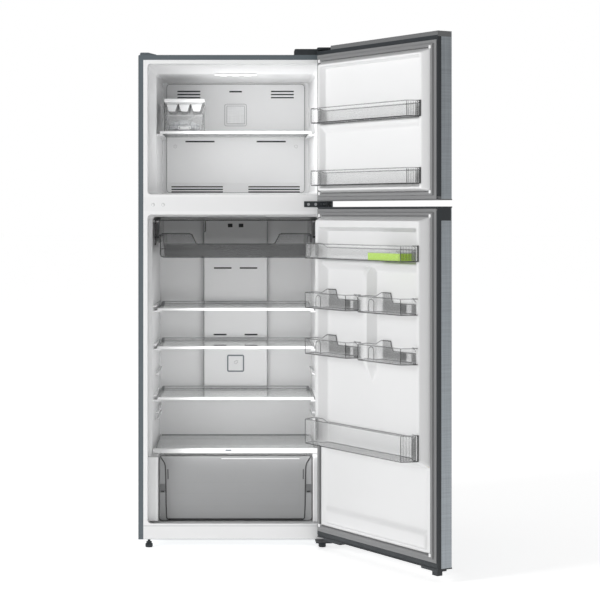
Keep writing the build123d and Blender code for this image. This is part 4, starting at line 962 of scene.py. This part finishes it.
def wall_details():
    """Panel seams, screw caps, duct edges, shelf ledges and side supports of the two liners."""
    made = Shape()
    x0, x1, y0, _, z0, z1 = box_in("evaporator_cover")
    cover = rounded(x0 + 1, x1 - 1, z0 + 4, z1 - 1, 14.0)
    ribbon(made, cover, 1.6, y0 - 0.5, y0 + 1.5, slot=1, loop=True)
    for x in SCREW_CAP_X:
        cap = circle(x, SCREW_CAP_Z, 6, 19)
        plate(made, cap, y0 - 1.2, y0 + 1, inset=1.4)
        ribbon(made, cap, 0.7, y0 - 0.3, y0 + 1, slot=1, loop=True)
    made.box(x0 + 8, x1 - 8, y0 - 2.4, y0 + 1, 1316, 1320)
    ceiling = box_in("lamp_lenses")[5]
    both_sides(made, x1 - 1, x1 + 27, y0 + 5, y0 + 8, z0 - 6, z1 - 16)
    made.box(x0 - 27, x1 + 27, y0 + 5, y0 + 8, z1 - 16, ceiling + 6)
    # near-black plates behind the back panel's vent slots: painted shadow
    made.box(x0 + 6, x1 - 6, y0 + 7.5, y0 + 9, z0 + 2, z0 + 36, slot=3)
    made.box(-200, 200, y0 + 7.5, y0 + 9, 1470, 1486, slot=3)
    made.box(-230, 230, y0 + 7.5, y0 + 9, 1640, 1678, slot=3)
    x0, x1, y0, y1, z0, z1 = box_in("air_duct_cover")
    both_sides(made, x1 - 1.4, x1 + 1.6, y0 + 3.5, y1 - 2, z0 + 2, z1 - 14, slot=2)
    for node in ("fridge_shelf_1", "fridge_shelf_2", "fridge_shelf_3"):
        _, half, front, back, _, top = box_in(node)
        for side in (-1, 1):
            high, a, b = top - 20.5, front + 16, back - 12
            wedge = [(a, high), (b, high), (b, high - 4), (a + 10, high - 4), (a - 2, high - 0.5)]
            made.across(wedge, *sorted((side * (half + 4.5), side * (half - 10))))
    for z in SPARE_LEDGES_Z:
        for side in (-1, 1):
            ledge = [(150, z), (470, z), (470, z - 4), (160, z - 6)]
            made.across(ledge, *sorted((side * 291.5, side * 284)))
    # near-black plates behind the duct cover's slots: painted shadow
    for z, half in DUCT_SLOTS:
        made.box(-half, half, y0 + 4.5, y0 + 6, z - 9, z + 9, slot=3)
    half, front, back, low, high = box_in("crisper_drawer")[1:]
    for side in (-1, 1):
        block = [(half + 3.2, back - 20), (half + 3.2, 27), (half + 5.4, 24.8), (OPENING_HALF, 24.8),
                 (OPENING_HALF, 60), (293, back - 20)]
        made.prism([(side * x, y) for x, y in block], low + 4, high + 0.5)
    rail = box_in("kick_plate")
    made.box(rail[0], rail[1], -0.35, 0.4, rail[5] - 0.9, rail[5] + 0.9, slot=4)
    slots = ["liner_white", "clip_grey", "duct_edge", "vent_painted_shadow", "seam_grey"]
    made.piece("wall_details", "cabinet", slots, bevel=0.5)


def roof_cap_and_plugs():
    """Dark cap over the roof's left front corner, and two white plugs in the spare hinge holes."""
    x0, _, y0, _, _, z1 = box_in("trim_caps")
    roof = box_in("outer_shell")[5]
    end = -283
    made = Shape()
    profile = [(x0, roof), (end, roof), (end - 3, roof + 1.5), (end - 26, z1 - 1.5), (end - 32, z1),
               (x0 + 3, z1), (x0, z1 - 3)]
    depths = ((3, 1.2), (4.5, 0), (58.5, 0), (60, 1.2))
    made.rings([[(x, y, z - (fall if z > roof + 2 else 0)) for x, z in profile] for y, fall in depths])
    for x in PLUG_X:
        head = circle(x, PLUG_Z, 5, 23)
        steps = [(offset_plan(head, -2.2), y0), (offset_plan(head, -0.6), y0 + 0.5), (head, y0 + 1.4)]
        steps.append((head, -0.05))
        made.rings([[(px, y, pz) for px, pz in ring] for ring, y in steps], slot=1)
        ribbon(made, offset_plan(head, 0.6), 0.9, -0.25, -0.05, slot=2, loop=True)
    slots = ["cabinet_paint", "trim_white", "seam_grey"]
    made.piece("roof_cap_and_plugs", "cabinet", slots, smooth=35, replaces=["trim_caps"])


# ==== camera, light and floor ====

STUDIO_LIGHT = 0.39


def make_camera():
    camera = bpy.data.cameras.new("camera")
    camera.lens, camera.sensor_width = 105.35, 36.0
    camera.shift_x, camera.shift_y = 0.1073, -0.1463
    camera.clip_end = 200.0
    eye = bpy.data.objects.new("camera", camera)
    eye.location = (0.0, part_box("outer_shell")[0].y - 6.3156, 1.2062)
    eye.rotation_euler = (math.radians(90), 0, 0)
    SCENE.collection.objects.link(eye)
    SCENE.camera = eye


def area_light(name, place, target, size, power):
    light = bpy.data.lights.new(name, "AREA")
    light.shape, light.size, light.size_y = "RECTANGLE", size[0], size[1]
    light.energy = power
    lamp = bpy.data.objects.new(name, light)
    lamp.location = place
    lamp.rotation_euler = (Vector(target) - Vector(place)).to_track_quat("-Z", "Y").to_euler()
    lamp.visible_camera = lamp.visible_glossy = False
    SCENE.collection.objects.link(lamp)


def make_floor():
    mesh = bpy.data.meshes.new("floor")
    grid = bmesh.new()
    bmesh.ops.create_grid(grid, x_segments=8, y_segments=8, size=80.0)
    grid.to_mesh(mesh)
    grid.free()
    floor = bpy.data.objects.new("floor", mesh)
    SCENE.collection.objects.link(floor)
    glow = {"Emission_Color": (1, 1, 1, 1), "Emission_Strength": 1 - STUDIO_LIGHT}
    mesh.materials.append(Surface("floor_white", (1, 1, 1), 0.6, **glow).vary_rough(0.8, 0.05).mat)


def make_light():
    """White surroundings, softer as a light than they look, and a large lamp from the left front."""
    world = bpy.data.worlds.new("studio")
    world.use_nodes = True
    tree = world.node_tree
    seen, soft = tree.nodes["Background"], tree.nodes.new("ShaderNodeBackground")
    soft.inputs["Color"].default_value = seen.inputs["Color"].default_value = (1, 1, 1, 1)
    soft.inputs["Strength"].default_value = STUDIO_LIGHT
    seen.inputs["Strength"].default_value = 1.0
    path, mix = tree.nodes.new("ShaderNodeLightPath"), tree.nodes.new("ShaderNodeMixShader")
    tree.links.new(path.outputs["Is Camera Ray"], mix.inputs["Fac"])
    tree.links.new(soft.outputs["Background"], mix.inputs[1])
    tree.links.new(seen.outputs["Background"], mix.inputs[2])
    tree.links.new(mix.outputs["Shader"], tree.nodes["World Output"].inputs["Surface"])
    SCENE.world = world
    area_light("key", (-5.8, -4.1, 2.7), (0.1, 0, 0.9), (2.2, 1.8), 270)
    for liner, power, share in (("freezer_liner", 0.9, 0.42), ("fridge_liner", 1.65, 0.5)):
        low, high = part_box(liner)
        middle, height = (low.x + high.x) / 2, high.z - low.z
        place = (middle + 0.06, low.y + 0.02, low.z + height * share)
        target = (middle + 0.08, high.y, low.z + height * 0.5)
        area_light(liner + "_fill", place, target, (0.48, height * 0.56), power)
    SCENE.view_settings.view_transform = "Standard"


# ==== everything in its place ====

dress_nodes()
freezer_door_liner()
fridge_door_liner()
for build in (seal, edge_trim, corner_pads):
    for door in ("freezer_door", "fridge_door"):
        build(door)
make_bins()
roof_cap_and_plugs()
for shelf in ("freezer_shelf", "fridge_shelf_1", "fridge_shelf_2", "fridge_shelf_3"):
    glass_shelf(shelf)
for build in (crisper_lid, slide_knob, crisper, chiller, chiller_hood, ice_stand, ice_cups, ice_box, badges):
    build()
lamps()
wall_details()
make_camera()
make_light()
make_floor()
